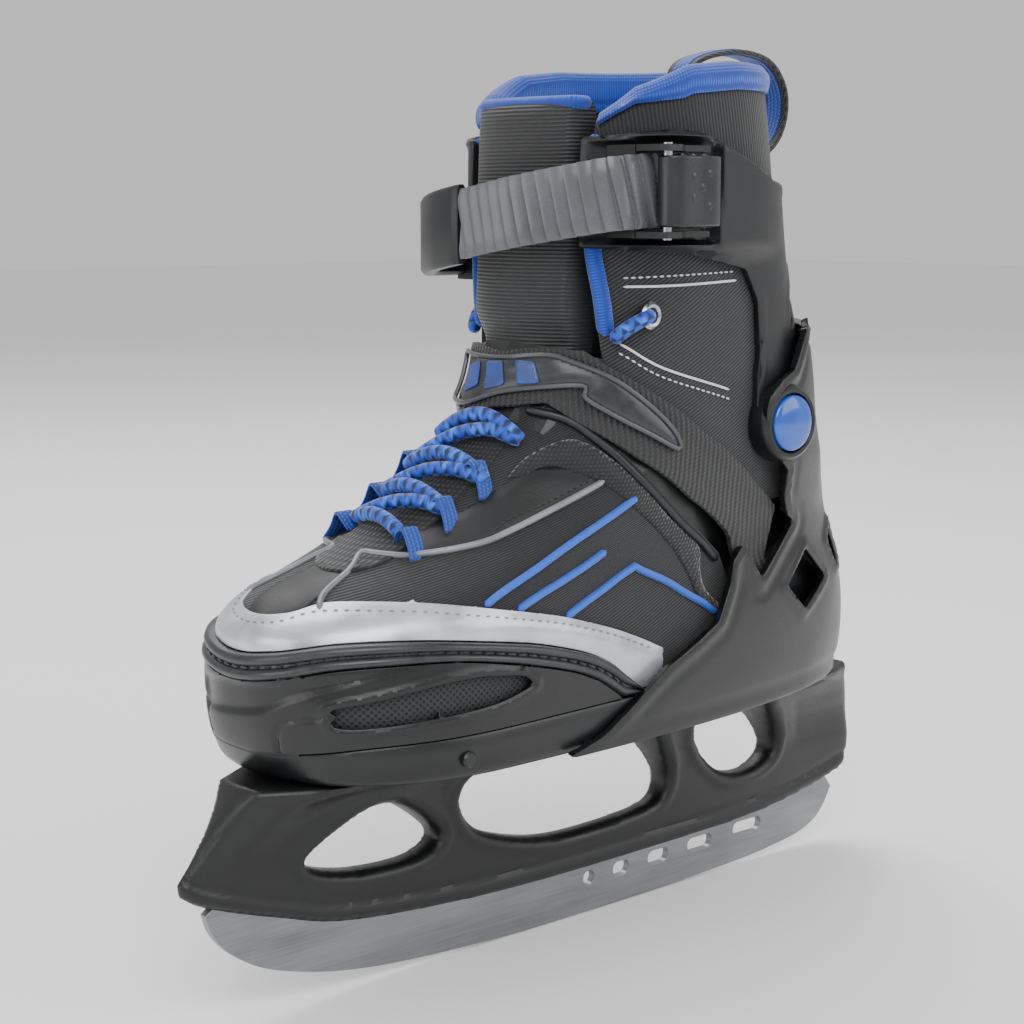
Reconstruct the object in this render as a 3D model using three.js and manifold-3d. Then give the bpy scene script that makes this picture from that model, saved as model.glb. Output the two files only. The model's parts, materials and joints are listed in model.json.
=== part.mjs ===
// Size-adjustable ice skate, left foot. Millimetres, +Z up, toe towards -X, outer side of the foot
// towards -Y. The origin is where the steel rests on the ice, in the middle of its flat stretch.
import * as THREE from 'three';
import { mergeVertices } from 'three/addons/utils/BufferGeometryUtils.js';
import Module from 'manifold-3d';

const wasm = await Module();
wasm.setup();

// ---------------------------------------------------------------- driving dimensions
const bootLength = 254; // fabric boot, toe to heel
const bootWidth = 87; // fabric boot across the ball of the foot
const bootHeight = 201; // underside of the fabric boot to the collar's rim
const holderTop = 74; // top of the blade holder, under the chassis
const bladeThickness = 3;
const tangDepth = 8; // how far the steel runs up into the holder
const pinGap = 0.15; // clearance round the hinge pins
const fitGap = 0.4; // clearance between pieces that sit together
const flexGap = 1.4; // extra clearance between the shell's ears and the cuff that tilts inside them
const vampWall = 2.5; // fabric of the forefoot
const linerWall = 3; // padded sock that the forefoot slides over
const shellWall = 3; // moulded toe shell, cuff and heel shell
const padWall = 8; // padded collar and tongue
const strapWall = 2.1; // instep webbing
const sizeTravel = 20; // how far the toe slides out, smallest size to largest
const leanForward = 6; // how far the cuff tilts to the toe, degrees
const leanBack = 2;
const pivotRadius = 4; // rivet through each ankle pivot
const capRadius = 9.6; // coloured cap over each rivet
const boltRadius = 2.5;
const ladderWidth = 23;
const ladderThickness = 3;
const toothPitch = 5.2;
const toothHeight = 1.1;
const leverPinRadius = 1.5;
const laceDiameter = 4.6;
const eyeletRadius = 4.4;

// ---------------------------------------------------------------- grading
// The style lines are drawn on a pattern boot of these sizes, and graded to the boot being made.
const pattern = { length: 254, width: 87, height: 201, sole: 84, holderTop: 74 };
const chassisFloor = holderTop + 0.3;
const floorWall = 4;
const soleZ = holderTop + pattern.sole - pattern.holderTop;
const gx = (x) => (x * bootLength) / pattern.length;
const gy = (y) => (y * bootWidth) / pattern.width;
const gz = (z) => (z >= pattern.sole
  ? soleZ + ((z - pattern.sole) * bootHeight) / pattern.height
  : z >= pattern.holderTop ? holderTop + z - pattern.holderTop : (z * holderTop) / pattern.holderTop);

// ---------------------------------------------------------------- materials
const finish = (color, roughness, metalness = 0) =>
  new THREE.MeshStandardMaterial({ color, roughness, metalness });
const looks = {
  steel: finish(0x96999e, 0.35, 1),
  holder: finish(0x2b2e33, 0.6),
  shell: finish(0x2e3035, 0.55),
  cuff: finish(0x37393d, 0.6),
  twill: finish(0x34363a, 0.9),
  lining: finish(0x15161a, 0.95),
  tongue: finish(0x202124, 0.85),
  webbing: finish(0x191a1c, 0.85),
  rubber: finish(0x222427, 0.5),
  silver: finish(0xc9ccd1, 0.35),
  blue: finish(0x1f5fc9, 0.3),
  lace: finish(0x1d5bd0, 0.8),
  mesh: finish(0x0d0e10, 0.9),
  ladder: finish(0x5b5d60, 0.4),
  metal: finish(0xb9bcc0, 0.3, 1),
};

// ---------------------------------------------------------------- solids
function solid(geometry) {
  const bare = geometry.clone();
  for (const name of ['normal', 'uv']) bare.deleteAttribute(name);
  const merged = mergeVertices(bare, 1e-4);
  return new wasm.Manifold(new wasm.Mesh({
    numProp: 3,
    vertProperties: new Float32Array(merged.attributes.position.array),
    triVerts: new Uint32Array(merged.index.array),
  }));
}

function geometryOf(body) {
  const mesh = body.getMesh();
  const geometry = new THREE.BufferGeometry();
  geometry.setAttribute('position', new THREE.BufferAttribute(new Float32Array(mesh.vertProperties), 3));
  geometry.setIndex(new THREE.BufferAttribute(new Uint32Array(mesh.triVerts), 1));
  geometry.computeVertexNormals();
  return geometry;
}

// A closed solid through rings of points, each ring with the same number of points.
function loft(rings) {
  const count = rings[0].length;
  const points = rings.flat();
  const faces = [];
  for (let r = 0; r < rings.length - 1; r += 1) {
    for (let i = 0; i < count; i += 1) {
      const a = r * count + i;
      const b = r * count + ((i + 1) % count);
      faces.push(a, b, b + count, a, b + count, a + count);
    }
  }
  for (const [first, flip] of [[0, true], [(rings.length - 1) * count, false]]) {
    const middle = points.length;
    const ring = points.slice(first, first + count);
    points.push(ring.reduce((sum, p) => sum.add(p), new THREE.Vector3()).divideScalar(count));
    for (let i = 0; i < count; i += 1) {
      const a = first + i;
      const b = first + ((i + 1) % count);
      faces.push(middle, flip ? b : a, flip ? a : b);
    }
  }
  const geometry = new THREE.BufferGeometry().setFromPoints(points);
  geometry.setIndex(faces);
  return solid(geometry);
}

// A side-view outline (x, z) cut straight across the skate, from lowY to highY.
function sidePrism(outline, lowY = -150, highY = 150) {
  const shape = new THREE.Shape(outline.map(([x, z]) => new THREE.Vector2(x, z)));
  const geometry = new THREE.ExtrudeGeometry(shape, { depth: highY - lowY, bevelEnabled: false });
  geometry.rotateX(Math.PI / 2).translate(0, highY, 0);
  return solid(geometry);
}

// A plan outline (x, y) carried up from lowZ to highZ.
function planPrism(outline, lowZ, highZ) {
  const shape = new THREE.Shape(outline.map(([x, y]) => new THREE.Vector2(x, y)));
  const geometry = new THREE.ExtrudeGeometry(shape, { depth: highZ - lowZ, bevelEnabled: false });
  return solid(geometry.translate(0, 0, lowZ));
}

function box(low, high) {
  const size = high.map((value, i) => value - low[i]);
  const geometry = new THREE.BoxGeometry(...size);
  return solid(geometry.translate(...low.map((value, i) => value + size[i] / 2)));
}

// A turned solid about an axis through `at`: profile points are (radius, distance along the axis).
function turned(profile, at, axis, segments = 20) {
  const points = profile.map(([r, d]) => new THREE.Vector2(r, d));
  const geometry = new THREE.LatheGeometry(points, segments);
  const turn = new THREE.Quaternion().setFromUnitVectors(new THREE.Vector3(0, 1, 0), axis);
  return solid(geometry.applyQuaternion(turn).translate(...at));
}

function rod(radius, from, to, segments = 20) {
  const start = new THREE.Vector3(...from);
  const run = new THREE.Vector3(...to).sub(start);
  const length = run.length();
  return turned([[0, 0], [radius, 0], [radius, length], [0, length]], from, run.normalize(), segments);
}

const graded = (outline) => outline.map(([x, z]) => [gx(x), gz(z)]);
const mirrorY = (body) => body.mirror([0, 1, 0]);

// ---------------------------------------------------------------- the boot's form
// Level cuts through the fabric boot: height, toe, heel, half width, widest point, front fullness.
const bootForm = [
  [70, -126, 113, 39.5, -68, 2.5],
  [84, -133, 118, 42.5, -68, 2.5],
  [98, -135, 119, 43.5, -68, 2.5],
  [112, -135, 117, 43.5, -66, 2.4],
  [121, -132.5, 113.5, 43, -62, 2.3],
  [128, -123.5, 110, 42.5, -54, 2.2],
  [137, -102, 106.5, 42, -42, 2.1],
  [148, -81, 102, 41.5, -22, 2],
  [159, -64.5, 98, 41, -4, 2],
  [173, -48, 92, 40.5, 15, 2],
  [186, -39, 88, 40.5, 25, 2.1],
  [204, -31, 82, 41.5, 28, 2.3],
  [226, -27, 75, 43, 26, 2.6],
  [250, -26, 70, 44, 24, 2.7],
  [285, -24, 65, 45, 21, 2.7],
];
const heelFullness = 2.5;
const toeLean = 6; // the toe leans to the inner side by this much
const ringSteps = 22;

function bootCut(z) {
  const heights = bootForm.map((row) => gz(row[0]));
  let i = 0;
  while (i < heights.length - 2 && z > heights[i + 1]) i += 1;
  const t = Math.min(1, Math.max(0, (z - heights[i]) / (heights[i + 1] - heights[i])));
  const [, toe, heel, half, widest, fullness] = bootForm[i].map((v, k) => v + (bootForm[i + 1][k] - v) * t);
  return { toe: gx(toe), heel: gx(heel), half: gy(half), widest: gx(widest), fullness };
}

function leanAt(x, z, cut) {
  const reach = Math.min(1, Math.max(0, (cut.widest - x) / (cut.widest - cut.toe)));
  const fade = Math.min(1, Math.max(0, (gz(190) - z) / (gz(190) - gz(130))));
  return toeLean * reach * reach * fade;
}

function bootRing(z, grow) {
  const cut = bootCut(z);
  const points = [];
  for (let i = 0; i < ringSteps; i += 1) {
    const angle = (2 * Math.PI * i) / ringSteps;
    const c = Math.cos(angle);
    const s = Math.sin(angle);
    const power = 2 / (c < 0 ? cut.fullness : heelFullness);
    const reach = c < 0 ? cut.widest - cut.toe + grow : cut.heel + grow - cut.widest;
    const x = cut.widest + Math.sign(c) * Math.abs(c) ** power * reach;
    const y = Math.sign(s) * Math.abs(s) ** power * (cut.half + grow);
    points.push(new THREE.Vector3(x, y + leanAt(x, z, cut), z));
  }
  return points;
}

// The boot's form grown outwards by `grow` (a number, or a function of height).
function bootSolid(lowZ, highZ, grow) {
  const growAt = typeof grow === 'function' ? grow : () => grow;
  const inner = bootForm.map((row) => gz(row[0])).filter((z) => z > lowZ + 0.05 && z < highZ - 0.05);
  return loft([lowZ, ...inner, highZ].map((z) => bootRing(z, growAt(z))));
}

function bootShell(lowZ, highZ, inside, outside) {
  const past = 2;
  return bootSolid(lowZ, highZ, outside).subtract(bootSolid(lowZ - past, highZ + past, inside));
}

// Half width of the boot's form at a place along it, for seating pieces on its side.
function sideY(x, z, grow) {
  const cut = bootCut(z);
  const front = x < cut.widest;
  const reach = front ? cut.widest - cut.toe + grow : cut.heel + grow - cut.widest;
  const power = front ? cut.fullness : heelFullness;
  const part = Math.min(1, Math.abs(x - cut.widest) / reach);
  return (cut.half + grow) * (1 - part ** power) ** (1 / power);
}

// Front of the boot's form at height z and offset y from the middle.
function frontX(y, z, grow) {
  const cut = bootCut(z);
  const part = Math.min(1, Math.abs(y) / (cut.half + grow));
  return cut.widest - (cut.widest - cut.toe + grow) * (1 - part ** cut.fullness) ** (1 / cut.fullness);
}

// ---------------------------------------------------------------- layers, from the foot outwards
const layer = {
  linerIn: -(vampWall + fitGap + linerWall),
  linerOut: -(vampWall + fitGap),
  vampIn: -vampWall,
  shellIn: fitGap,
  shellOut: fitGap + shellWall,
  cradleIn: 2 * fitGap + shellWall,
};
const flexLow = gz(140);
const flexHigh = gz(160);
const cradleIn = (z) => layer.cradleIn
  + flexGap * Math.min(1, Math.max(0, (z - flexLow) / (flexHigh - flexLow)));
const cradleOut = (z) => cradleIn(z) + shellWall;

// ---------------------------------------------------------------- shared places
const pivot = { x: gx(55.5), z: gz(174) };
const seamGap = fitGap;
const chassisFront = gx(-134);
const cradleFloorFront = gx(-39.6);
const far = 400;
// Side view of the chassis rim's top edge. It never falls towards the heel, so that the toe shell on it can slide.
const rimLine = [[-134, 84.5], [-113, 88], [-86, 89]];
const rimTop = gz(89);
const underRim = (rise) => [
  [-far, gz(84.5) + rise], ...graded(rimLine).map(([x, z]) => [x, z + rise]), [far, rimTop + rise], [far, 0], [-far, 0],
];

// Floors that lie on each other above the rim: insole board, forefoot, sock and footbed.
const boardWall = 1.2;
const soleWall = 1.6;
const footbedWall = 3;
const keelLow = chassisFloor + floorWall + fitGap;
const boardLow = rimTop + fitGap;
const vampLow = boardLow + boardWall + fitGap;
const sockLow = vampLow + soleWall + fitGap;
const footbedLow = sockLow + soleWall + fitGap;
const keelRear = gx(-22);

// What the toe slides over: it has to fit inside the toe at both ends of the travel.
const slidOver = (body) => body.intersect(body.translate([-sizeTravel, 0, 0]));

// The line that the forefoot's rear edge follows, from the instep down to the arch.
const vampEdge = [[-46, 182], [28, 118], [32, 60]];
const vampSide = graded([[-200, 60], [-200, 182], ...vampEdge]);
const stepGap = 0.8;
const quarterSide = [
  ...graded(vampEdge).map(([x, z]) => [x + stepGap, z + stepGap]).reverse(),
  [gx(-46) + stepGap - far, gz(182) + stepGap], [-far, far + holderTop], [far, far + holderTop], [far, gz(60)],
];

const ankle = (degrees) => Math.tan((degrees * Math.PI) / 180);
const foldAngle = 25.9; // rise of the fold in the upper, from the pivots to the shin
const clearAngle = 1;
const foldFront = (x, degrees) => pivot.z + (pivot.x - x) * ankle(degrees);
const aside = 1.2 * bootLength;
// Everything above the fold, which tilts with the cuff.
const aboveFold = sidePrism([
  [-aside, foldFront(-aside, foldAngle)], [aside, foldFront(aside, foldAngle)], [aside, far + far], [-aside, far + far],
]);
// Everything below the fold, cut back so that the cuff can lean both ways.
const belowFold = sidePrism([
  [-aside, foldFront(-aside, foldAngle - leanForward - clearAngle)], [-aside, -far], [aside, -far],
  [aside, foldFront(aside, foldAngle + leanBack + clearAngle)], [pivot.x, pivot.z - 0.5],
]);

// ---------------------------------------------------------------- blade
const edgeLine = [
  [-162, 43], [-155, 39], [-128, 29.5], [-100, 22], [-46, 17.5], [10, 16.7], [84, 18.1], [120, 22.5], [139, 27],
];
function edgeZ(x) {
  let i = 0;
  while (i < edgeLine.length - 2 && x > gx(edgeLine[i + 1][0])) i += 1;
  const [[x0, z0], [x1, z1]] = [edgeLine[i], edgeLine[i + 1]];
  return gz(z0) + ((gz(z1) - gz(z0)) * (x - gx(x0))) / (gx(x1) - gx(x0));
}
const tangFront = gx(-146);
const tangRear = gx(129);
const seatGap = 0.3;

function tangTop(rise, spread) {
  const inside = edgeLine.map(([x]) => gx(x)).filter((x) => x > tangFront && x < tangRear);
  return [tangFront - spread, ...inside, tangRear + spread].map((x) => [x, edgeZ(x) + rise]);
}

function makeBlade() {
  const running = [
    [137, 20], [132, 12.2], [119, 5.6], [84, 1.5], [22, 0], [-12, 0], [-46, 0.6], [-90, 3.5], [-120, 9.2],
    [-138, 16], [-149, 24.5], [-154, 32],
  ];
  const outline = [
    [gx(-155), edgeZ(gx(-155)) - seatGap], [tangFront, edgeZ(tangFront) - seatGap],
    ...tangTop(tangDepth, 0),
    [tangRear, edgeZ(tangRear) - seatGap], [gx(138), edgeZ(gx(138)) - seatGap],
    ...running.map(([x, z]) => [gx(x), gz(z)]),
  ];
  let blade = sidePrism(outline, -bladeThickness / 2, bladeThickness / 2);
  // Graduated through holes near the heel: place along the blade, overall length.
  const slotHeight = 5.2;
  for (const [x, length] of [[5, 5.2], [21, 8], [40, 10.5], [62, 13], [88, 15.5]]) {
    const height = edgeZ(gx(x)) - 2 - slotHeight / 2;
    const half = (length - slotHeight) / 2;
    const slot = new THREE.Shape();
    slot.absarc(gx(x) + half, height, slotHeight / 2, -Math.PI / 2, Math.PI / 2);
    slot.absarc(gx(x) - half, height, slotHeight / 2, Math.PI / 2, (3 * Math.PI) / 2);
    blade = blade.subtract(sidePrism(slot.getPoints(6).map((p) => [p.x, p.y]), -bladeThickness, bladeThickness));
  }
  return blade;
}

// ---------------------------------------------------------------- blade holder and its bolts
const boltPlaces = [['nose', -124], ['front', -63], ['rear', 43], ['heel', 112]];
const boltBottom = holderTop - 12;
const headTop = chassisFloor + floorWall - 0.4;
const headBottom = headTop - 2.1;

function makeHolder() {
  const side = graded([
    ...edgeLine, [145, 34], [143, 50], [134, 68], [128, 74], [-140, 74], [-163, 48],
  ]);
  const windows = [
    [[-120, 48], [-115, 42], [-99, 38], [-80, 37], [-67, 40], [-66, 44.5], [-76, 53], [-91, 61], [-106, 58]],
    [[-60, 54], [-59, 62], [-52, 68], [-42, 70], [10, 70], [24, 66], [33, 56], [41, 44], [39, 35.5], [16, 31],
      [-17, 32], [-42, 39], [-56, 46.5]],
    [[47.5, 69.5], [51, 57], [61, 46], [73, 38], [84, 36], [96, 39.5], [99, 46], [93, 56], [77, 69.5]],
  ];
  // Half widths by height: a slim rail over the steel that flares out under the sole.
  const flare = [[10, 3.6], [30, 4.2], [44, 5.2], [54, 8], [62, 12], [68, 17], [74, 25]];
  const section = [...flare.map(([z, w]) => [w, gz(z)]), ...flare.map(([z, w]) => [-w, gz(z)]).reverse()];
  const across = sidePrism(section, -far, far).rotate([0, 0, 90]);
  const plan = [[-165, 2.2], [-141, 9], [-112, 24], [-90, 27], [100, 27], [128, 14], [147, 4]];
  const planOutline = [...plan, ...plan.map(([x, y]) => [x, -y]).reverse()].map(([x, y]) => [gx(x), gy(y)]);
  let holder = sidePrism(side).intersect(across).intersect(planPrism(planOutline, 0, holderTop));
  for (const window of windows) holder = holder.subtract(sidePrism(graded(window)));
  const slot = [...tangTop(tangDepth + seatGap, seatGap), [tangRear + seatGap, 0], [tangFront - seatGap, 0]];
  const slotHalf = bladeThickness / 2 + seatGap;
  holder = holder.subtract(sidePrism(slot, -slotHalf, slotHalf));
  for (const [, x] of boltPlaces) {
    holder = holder.subtract(rod(boltRadius + seatGap, [gx(x), 0, boltBottom - seatGap], [gx(x), 0, far]));
  }
  return holder;
}

function makeBolt(x) {
  const headRadius = 5.5;
  return turned([
    [0, boltBottom], [boltRadius, boltBottom], [boltRadius, headBottom], [headRadius, headBottom],
    [headRadius, headTop], [1.6, headTop], [1.6, headTop - 1.2], [0, headTop - 1.2],
  ], [gx(x), 0, 0], new THREE.Vector3(0, 0, 1), 12);
}

function cutBolts(body, places) {
  let cut = body;
  for (const [, x] of places) {
    cut = cut.subtract(rod(boltRadius + seatGap, [gx(x), 0, 0], [gx(x), 0, headTop]));
    cut = cut.subtract(rod(6, [gx(x), 0, headBottom - seatGap], [gx(x), 0, headTop + 1]));
  }
  return cut;
}

// ---------------------------------------------------------------- chassis and size button
const button = { x: gx(-87), z: chassisFloor + floorWall + 3.1, radius: 2.6, travel: 3 };
button.outY = -sideY(button.x, button.z, layer.shellOut) - 1.2;

function makeChassis() {
  const span = box([chassisFront, -far, 0], [cradleFloorFront - seamGap, far, far]);
  const floorTop = chassisFloor + floorWall;
  const floor = bootSolid(chassisFloor, floorTop, layer.shellOut);
  const rim = bootShell(floorTop - 0.5, rimTop, layer.shellIn, layer.shellOut).intersect(sidePrism(underRim(0)));
  let chassis = floor.add(rim).intersect(span);
  chassis = cutBolts(chassis, boltPlaces.slice(0, 2));
  const hole = button.radius + seatGap;
  return chassis.subtract(rod(hole, [button.x, -far, button.z], [button.x, -gy(20), button.z]));
}

function makeButton() {
  const length = 6.4;
  return turned([[0, 0], [button.radius - 0.6, 0], [button.radius, 0.6], [button.radius, length], [0, length]],
    [button.x, button.outY, button.z], new THREE.Vector3(0, 1, 0), 16);
}

// ---------------------------------------------------------------- heel shell with its ears
function makeHeelShell() {
  const side = graded([
    [-51, 75], [-34, 80], [-17, 92], [-6, 99], [8, 105], [18, 110], [24, 121], [26, 129], [31, 134], [35, 131],
    [42, 121], [62, 138], [57, 141], [54, 147], [54, 157], [45, 164], [41, 171], [40, 178], [42, 184], [48, 189],
    [55, 192], [60, 200], [65, 206], [80, 208], [150, 208], [150, 75],
  ]).map(([x, z], i, all) => (z === all[0][1] ? [x, chassisFloor] : [x, z]));
  const low = chassisFloor;
  const floorTop = low + floorWall;
  let shell = bootShell(low, gz(209), cradleIn, cradleOut).intersect(sidePrism(side));
  const floor = bootSolid(low, floorTop, layer.cradleIn + 0.5)
    .intersect(box([cradleFloorFront, -far, 0], [far, far, far]));
  shell = shell.add(floor);
  shell = shell.subtract(sidePrism(graded([[70, 127], [85, 115], [69, 106], [57, 116]])));
  shell = shell.subtract(sidePrism(graded([[91, 127], [95, 132], [103, 119], [99, 116]])));
  // A flat-faced boss on each ear, with a recess that the rivet head and the cap sit in.
  for (const sign of [-1, 1]) {
    const face = earFace * sign;
    const boss = rod(capRadius + 3, [pivot.x, 0, pivot.z], [pivot.x, face, pivot.z], 28)
      .subtract(bootSolid(gz(140), gz(209), cradleIn));
    shell = shell.add(boss);
    const recess = [pivot.x, face - sign * recessDepth, pivot.z];
    shell = shell.subtract(rod(capRadius + seatGap, recess, [pivot.x, face + sign * 20, pivot.z], 28));
    shell = shell.subtract(rod(pivotRadius + seatGap, [pivot.x, 0, pivot.z], [pivot.x, face, pivot.z]));
  }
  return cutBolts(shell, boltPlaces.slice(2));
}
const recessDepth = 3;
const earFace = sideY(pivot.x - capRadius - 3, pivot.z, cradleOut(pivot.z)) + 0.6;

// ---------------------------------------------------------------- ankle pivots (made for the outer side)
const innerHeadY = -(sideY(pivot.x + capRadius, pivot.z, 0) - 1.6);

function makeRivet() {
  const headY = -(earFace - recessDepth + seatGap);
  const head = 1.2;
  const start = headY - head;
  const length = innerHeadY + head - start;
  return turned([
    [0, 0], [7, 0], [7, head], [pivotRadius, head], [pivotRadius, length - head], [6.4, length - head],
    [6.4, length], [0, length],
  ], [pivot.x, start, pivot.z], new THREE.Vector3(0, 1, 0), 14);
}

function makeCap() {
  const base = -(earFace - recessDepth + 2 * seatGap + 1.2);
  const dome = [];
  const rise = 1.9;
  const rim = 1.5;
  for (let i = 0; i <= 6; i += 1) {
    const angle = (Math.PI / 2) * (1 - i / 6);
    dome.push([capRadius * Math.cos(angle), rim + rise * Math.sin(angle)]);
  }
  dome[0][0] = 0;
  return turned([...dome, [capRadius, 0], [0, 0]].reverse(), [pivot.x, base, pivot.z],
    new THREE.Vector3(0, -1, 0), 20);
}

function cutPivotPockets(body) {
  let cut = body;
  for (const sign of [-1, 1]) {
    const from = [pivot.x, sign * (Math.abs(innerHeadY) - 1.8), pivot.z];
    cut = cut.subtract(rod(7.6, from, [pivot.x, sign * far, pivot.z], 24));
  }
  return cut;
}

// ---------------------------------------------------------------- soft lower boot
function makeQuarter() {
  const top = gz(215);
  const sockFront = gx(-64);
  const toeReach = gx(52); // the heel half is plain behind here, past anything that slides
  const sock = slidOver(bootSolid(sockLow, top, layer.linerOut));
  const form = bootSolid(keelLow, top, 0);
  const heelPad = slidOver(form).add(form.intersect(box([toeReach, -far, 0], [far, far, far])))
    .intersect(sidePrism(quarterSide));
  const liftEnd = gx(32) + stepGap + 1;
  const lift = bootSolid(keelLow, vampLow - fitGap, layer.linerIn)
    .intersect(box([keelRear + 0.6, -far, 0], [liftEnd, far, far]));
  const hollow = bootSolid(sockLow + soleWall, top + 2, layer.linerIn);
  const quarter = sock.add(heelPad).subtract(hollow).add(lift).intersect(belowFold)
    .intersect(box([sockFront, -far, 0], [far, far, far]));
  return cutPivotPockets(quarter);
}

function makeFootbed() {
  return bootSolid(footbedLow, footbedLow + footbedWall, layer.linerIn - 0.8)
    .intersect(box([gx(-62), -far, 0], [far, far, far]));
}

// ---------------------------------------------------------------- sliding toe
function makeVamp() {
  let vamp = bootSolid(vampLow, gz(183), 0).intersect(sidePrism(vampSide));
  vamp = vamp.subtract(bootSolid(vampLow + soleWall, gz(190), layer.vampIn));
  // Throat under the laces: a long opening, rounded towards the toe.
  const half = gy(12);
  const front = gx(-92);
  const throat = new THREE.Shape();
  throat.moveTo(gx(20), half).lineTo(front, half);
  throat.absarc(front, 0, half, Math.PI / 2, (3 * Math.PI) / 2);
  throat.lineTo(gx(20), -half);
  const lift = leanAt(front, gz(148), bootCut(gz(148)));
  const outline = throat.getPoints(8).map((p) => [p.x, p.y + lift]);
  return vamp.subtract(planPrism(outline, gz(136), far));
}

function makeToeShell() {
  const rearEdge = graded([[-200, 70], [-27, 74], [45, 112], [45, 130], [-200, 130]]);
  const seam = gz(84.5);
  const top = gz(108);
  const wall = bootShell(seam, top, layer.shellIn, layer.shellOut).intersect(sidePrism(rearEdge))
    .subtract(sidePrism(underRim(seamGap)));
  const bumper = bootSolid(chassisFloor + 1, seam + 2, layer.shellOut)
    .subtract(bootSolid(soleZ, seam + 4, layer.shellIn))
    .intersect(box([-far, -far, 0], [chassisFront - seamGap, far, far]));
  let shell = wall.add(bumper);
  for (const vent of [-1, 1]) {
    shell = shell.subtract(sidePrism(graded(ventOutline), Math.min(0, vent * far), Math.max(0, vent * far)));
  }
  return shell;
}
const ventOutline = [[-128, 100], [-104, 97.5], [-74, 98], [-66, 101.5], [-72, 105], [-86, 107], [-106, 104.5]];

function makeVentMesh(side) {
  const middle = [-97, 101.8];
  const inset = ventOutline.map(([x, z]) => [middle[0] + (x - middle[0]) * 0.95, middle[1] + (z - middle[1]) * 0.86]);
  return bootShell(gz(94), gz(112), fitGap + 0.7, fitGap + 1.4).intersect(sidePrism(graded(inset), Math.min(0, side * far), Math.max(0, side * far)));
}

function makeWelt() {
  const low = gz(108) + seamGap;
  const rear = graded([[-200, 70], [-24, 70], [8, 120], [-200, 120]]);
  return bootShell(low, gz(112), layer.shellIn, layer.shellOut + 0.8).intersect(sidePrism(rear));
}

function makeToeCap() {
  const low = gz(112) + seamGap;
  const band = graded([[-200, 100], [0, 100], [2, 112], [-8, 116], [-30, 121], [-60, 125], [-100, 127.5], [-200, 127.5]]);
  return bootShell(low, gz(128), fitGap, fitGap + 1.4).intersect(sidePrism(band));
}

function makeToeSole() {
  // A board under the forefoot, with a straight keel that slides along inside the chassis.
  const board = bootSolid(boardLow, boardLow + boardWall, -1).intersect(box([-far, -far, 0], [keelRear, far, far]));
  const keelHalf = gy(28);
  const corner = 8;
  const front = gx(-101);
  const keel = planPrism([
    [keelRear, -keelHalf], [keelRear, keelHalf], [front + corner, keelHalf], [front, keelHalf - corner],
    [front, corner - keelHalf], [front + corner, -keelHalf],
  ], keelLow, boardLow + boardWall / 2);
  return board.add(keel);
}

// ---------------------------------------------------------------- instep strap and its badge
function makeInstepStrap() {
  const inner = fitGap + 0.1;
  const band = graded([
    [-70, 202], [-30, 202], [-19, 201], [-8, 190.5], [25, 167], [57, 145], [42, 122.5], [31, 136.5], [-26, 178],
    [-40, 187], [-48, 190], [-70, 190],
  ]);
  return bootShell(gz(118), gz(203), inner, inner + strapWall).intersect(sidePrism(band));
}

function makeBadge() {
  const inner = fitGap + 0.1 + strapWall + 0.3;
  const leaf = graded([[-70, 199], [-32, 199], [-20, 196], [-8, 184], [4, 173], [-6, 176], [-22, 184], [-34, 191], [-70, 193]]);
  return bootShell(gz(160), gz(201), inner, inner + 1.8)
    .intersect(sidePrism(leaf, -far, gy(22)));
}

// ---------------------------------------------------------------- cuff
const cuffFrontHalf = gy(24);

function makeCuff() {
  const side = graded([
    [-60, 238], [-30, 234.5], [6, 232], [32, 226.5], [39, 216], [42, 200], [42, 181], [44, 168], [52, 161.5],
    [63, 161.5], [71, 168], [74, 180], [76, 194], [86, 200], [150, 203], [150, 250], [75, 252], [46, 256],
    [12, 270.5], [0, 272], [-24, 269], [-60, 263],
  ]);
  let cuff = bootShell(gz(158), gz(273), layer.shellIn, layer.shellOut).intersect(sidePrism(side));
  cuff = cuff.subtract(box([-far, -cuffFrontHalf, 0], [0, cuffFrontHalf, far]));
  cuff = cuff.subtract(sidePrism(graded([[62, 214], [67, 226], [70, 224], [68, 208], [64, 204]])));
  const slotHalf = 11;
  cuff = cuff.subtract(box([gx(60), -slotHalf, gz(238)], [far, slotHalf, gz(241.5)]));
  const hole = pivotRadius + seatGap;
  cuff = cuff.subtract(rod(hole, [pivot.x, -far, pivot.z], [pivot.x, far, pivot.z], 24));
  for (const [x, z] of buckleScrews) {
    cuff = cuff.subtract(rod(1.8 + seatGap, [x, -far, z], [x, 0, z], 12));
  }
  return cuff.subtract(rod(bracketScrew.radius + seatGap, [bracketScrew.x, 0, bracketScrew.z], [bracketScrew.x, far, bracketScrew.z], 12));
}

const collarOpening = gy(23.5);

function makeCollar() {
  const top = gz(294);
  const body = bootSolid(gz(150), top, 0).subtract(bootSolid(gz(148), top + 2, -padWall));
  // The rim is low beside the tongue and highest at the back.
  const rim = sidePrism([...graded([[-60, 272], [-22, 273], [0, 283], [20, 289], [50, 293], [90, 293]]),
    [gx(90), gz(120)], [gx(150), gz(120)], [gx(150), 0], [-far, 0]]);
  let collar = body.intersect(aboveFold).intersect(rim);
  collar = collar.subtract(box([-far, -collarOpening, 0], [gx(15), collarOpening, far]));
  return cutPivotPockets(collar);
}

function makeTongue() {
  const proud = 4;
  const half = collarOpening - seatGap - 0.3;
  const pad = bootSolid(gz(205), gz(282), proud).subtract(bootSolid(gz(203), gz(284), -padWall));
  return pad.intersect(aboveFold).intersect(box([-far, -half, gz(217)], [gx(14), half, far]));
}

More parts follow.
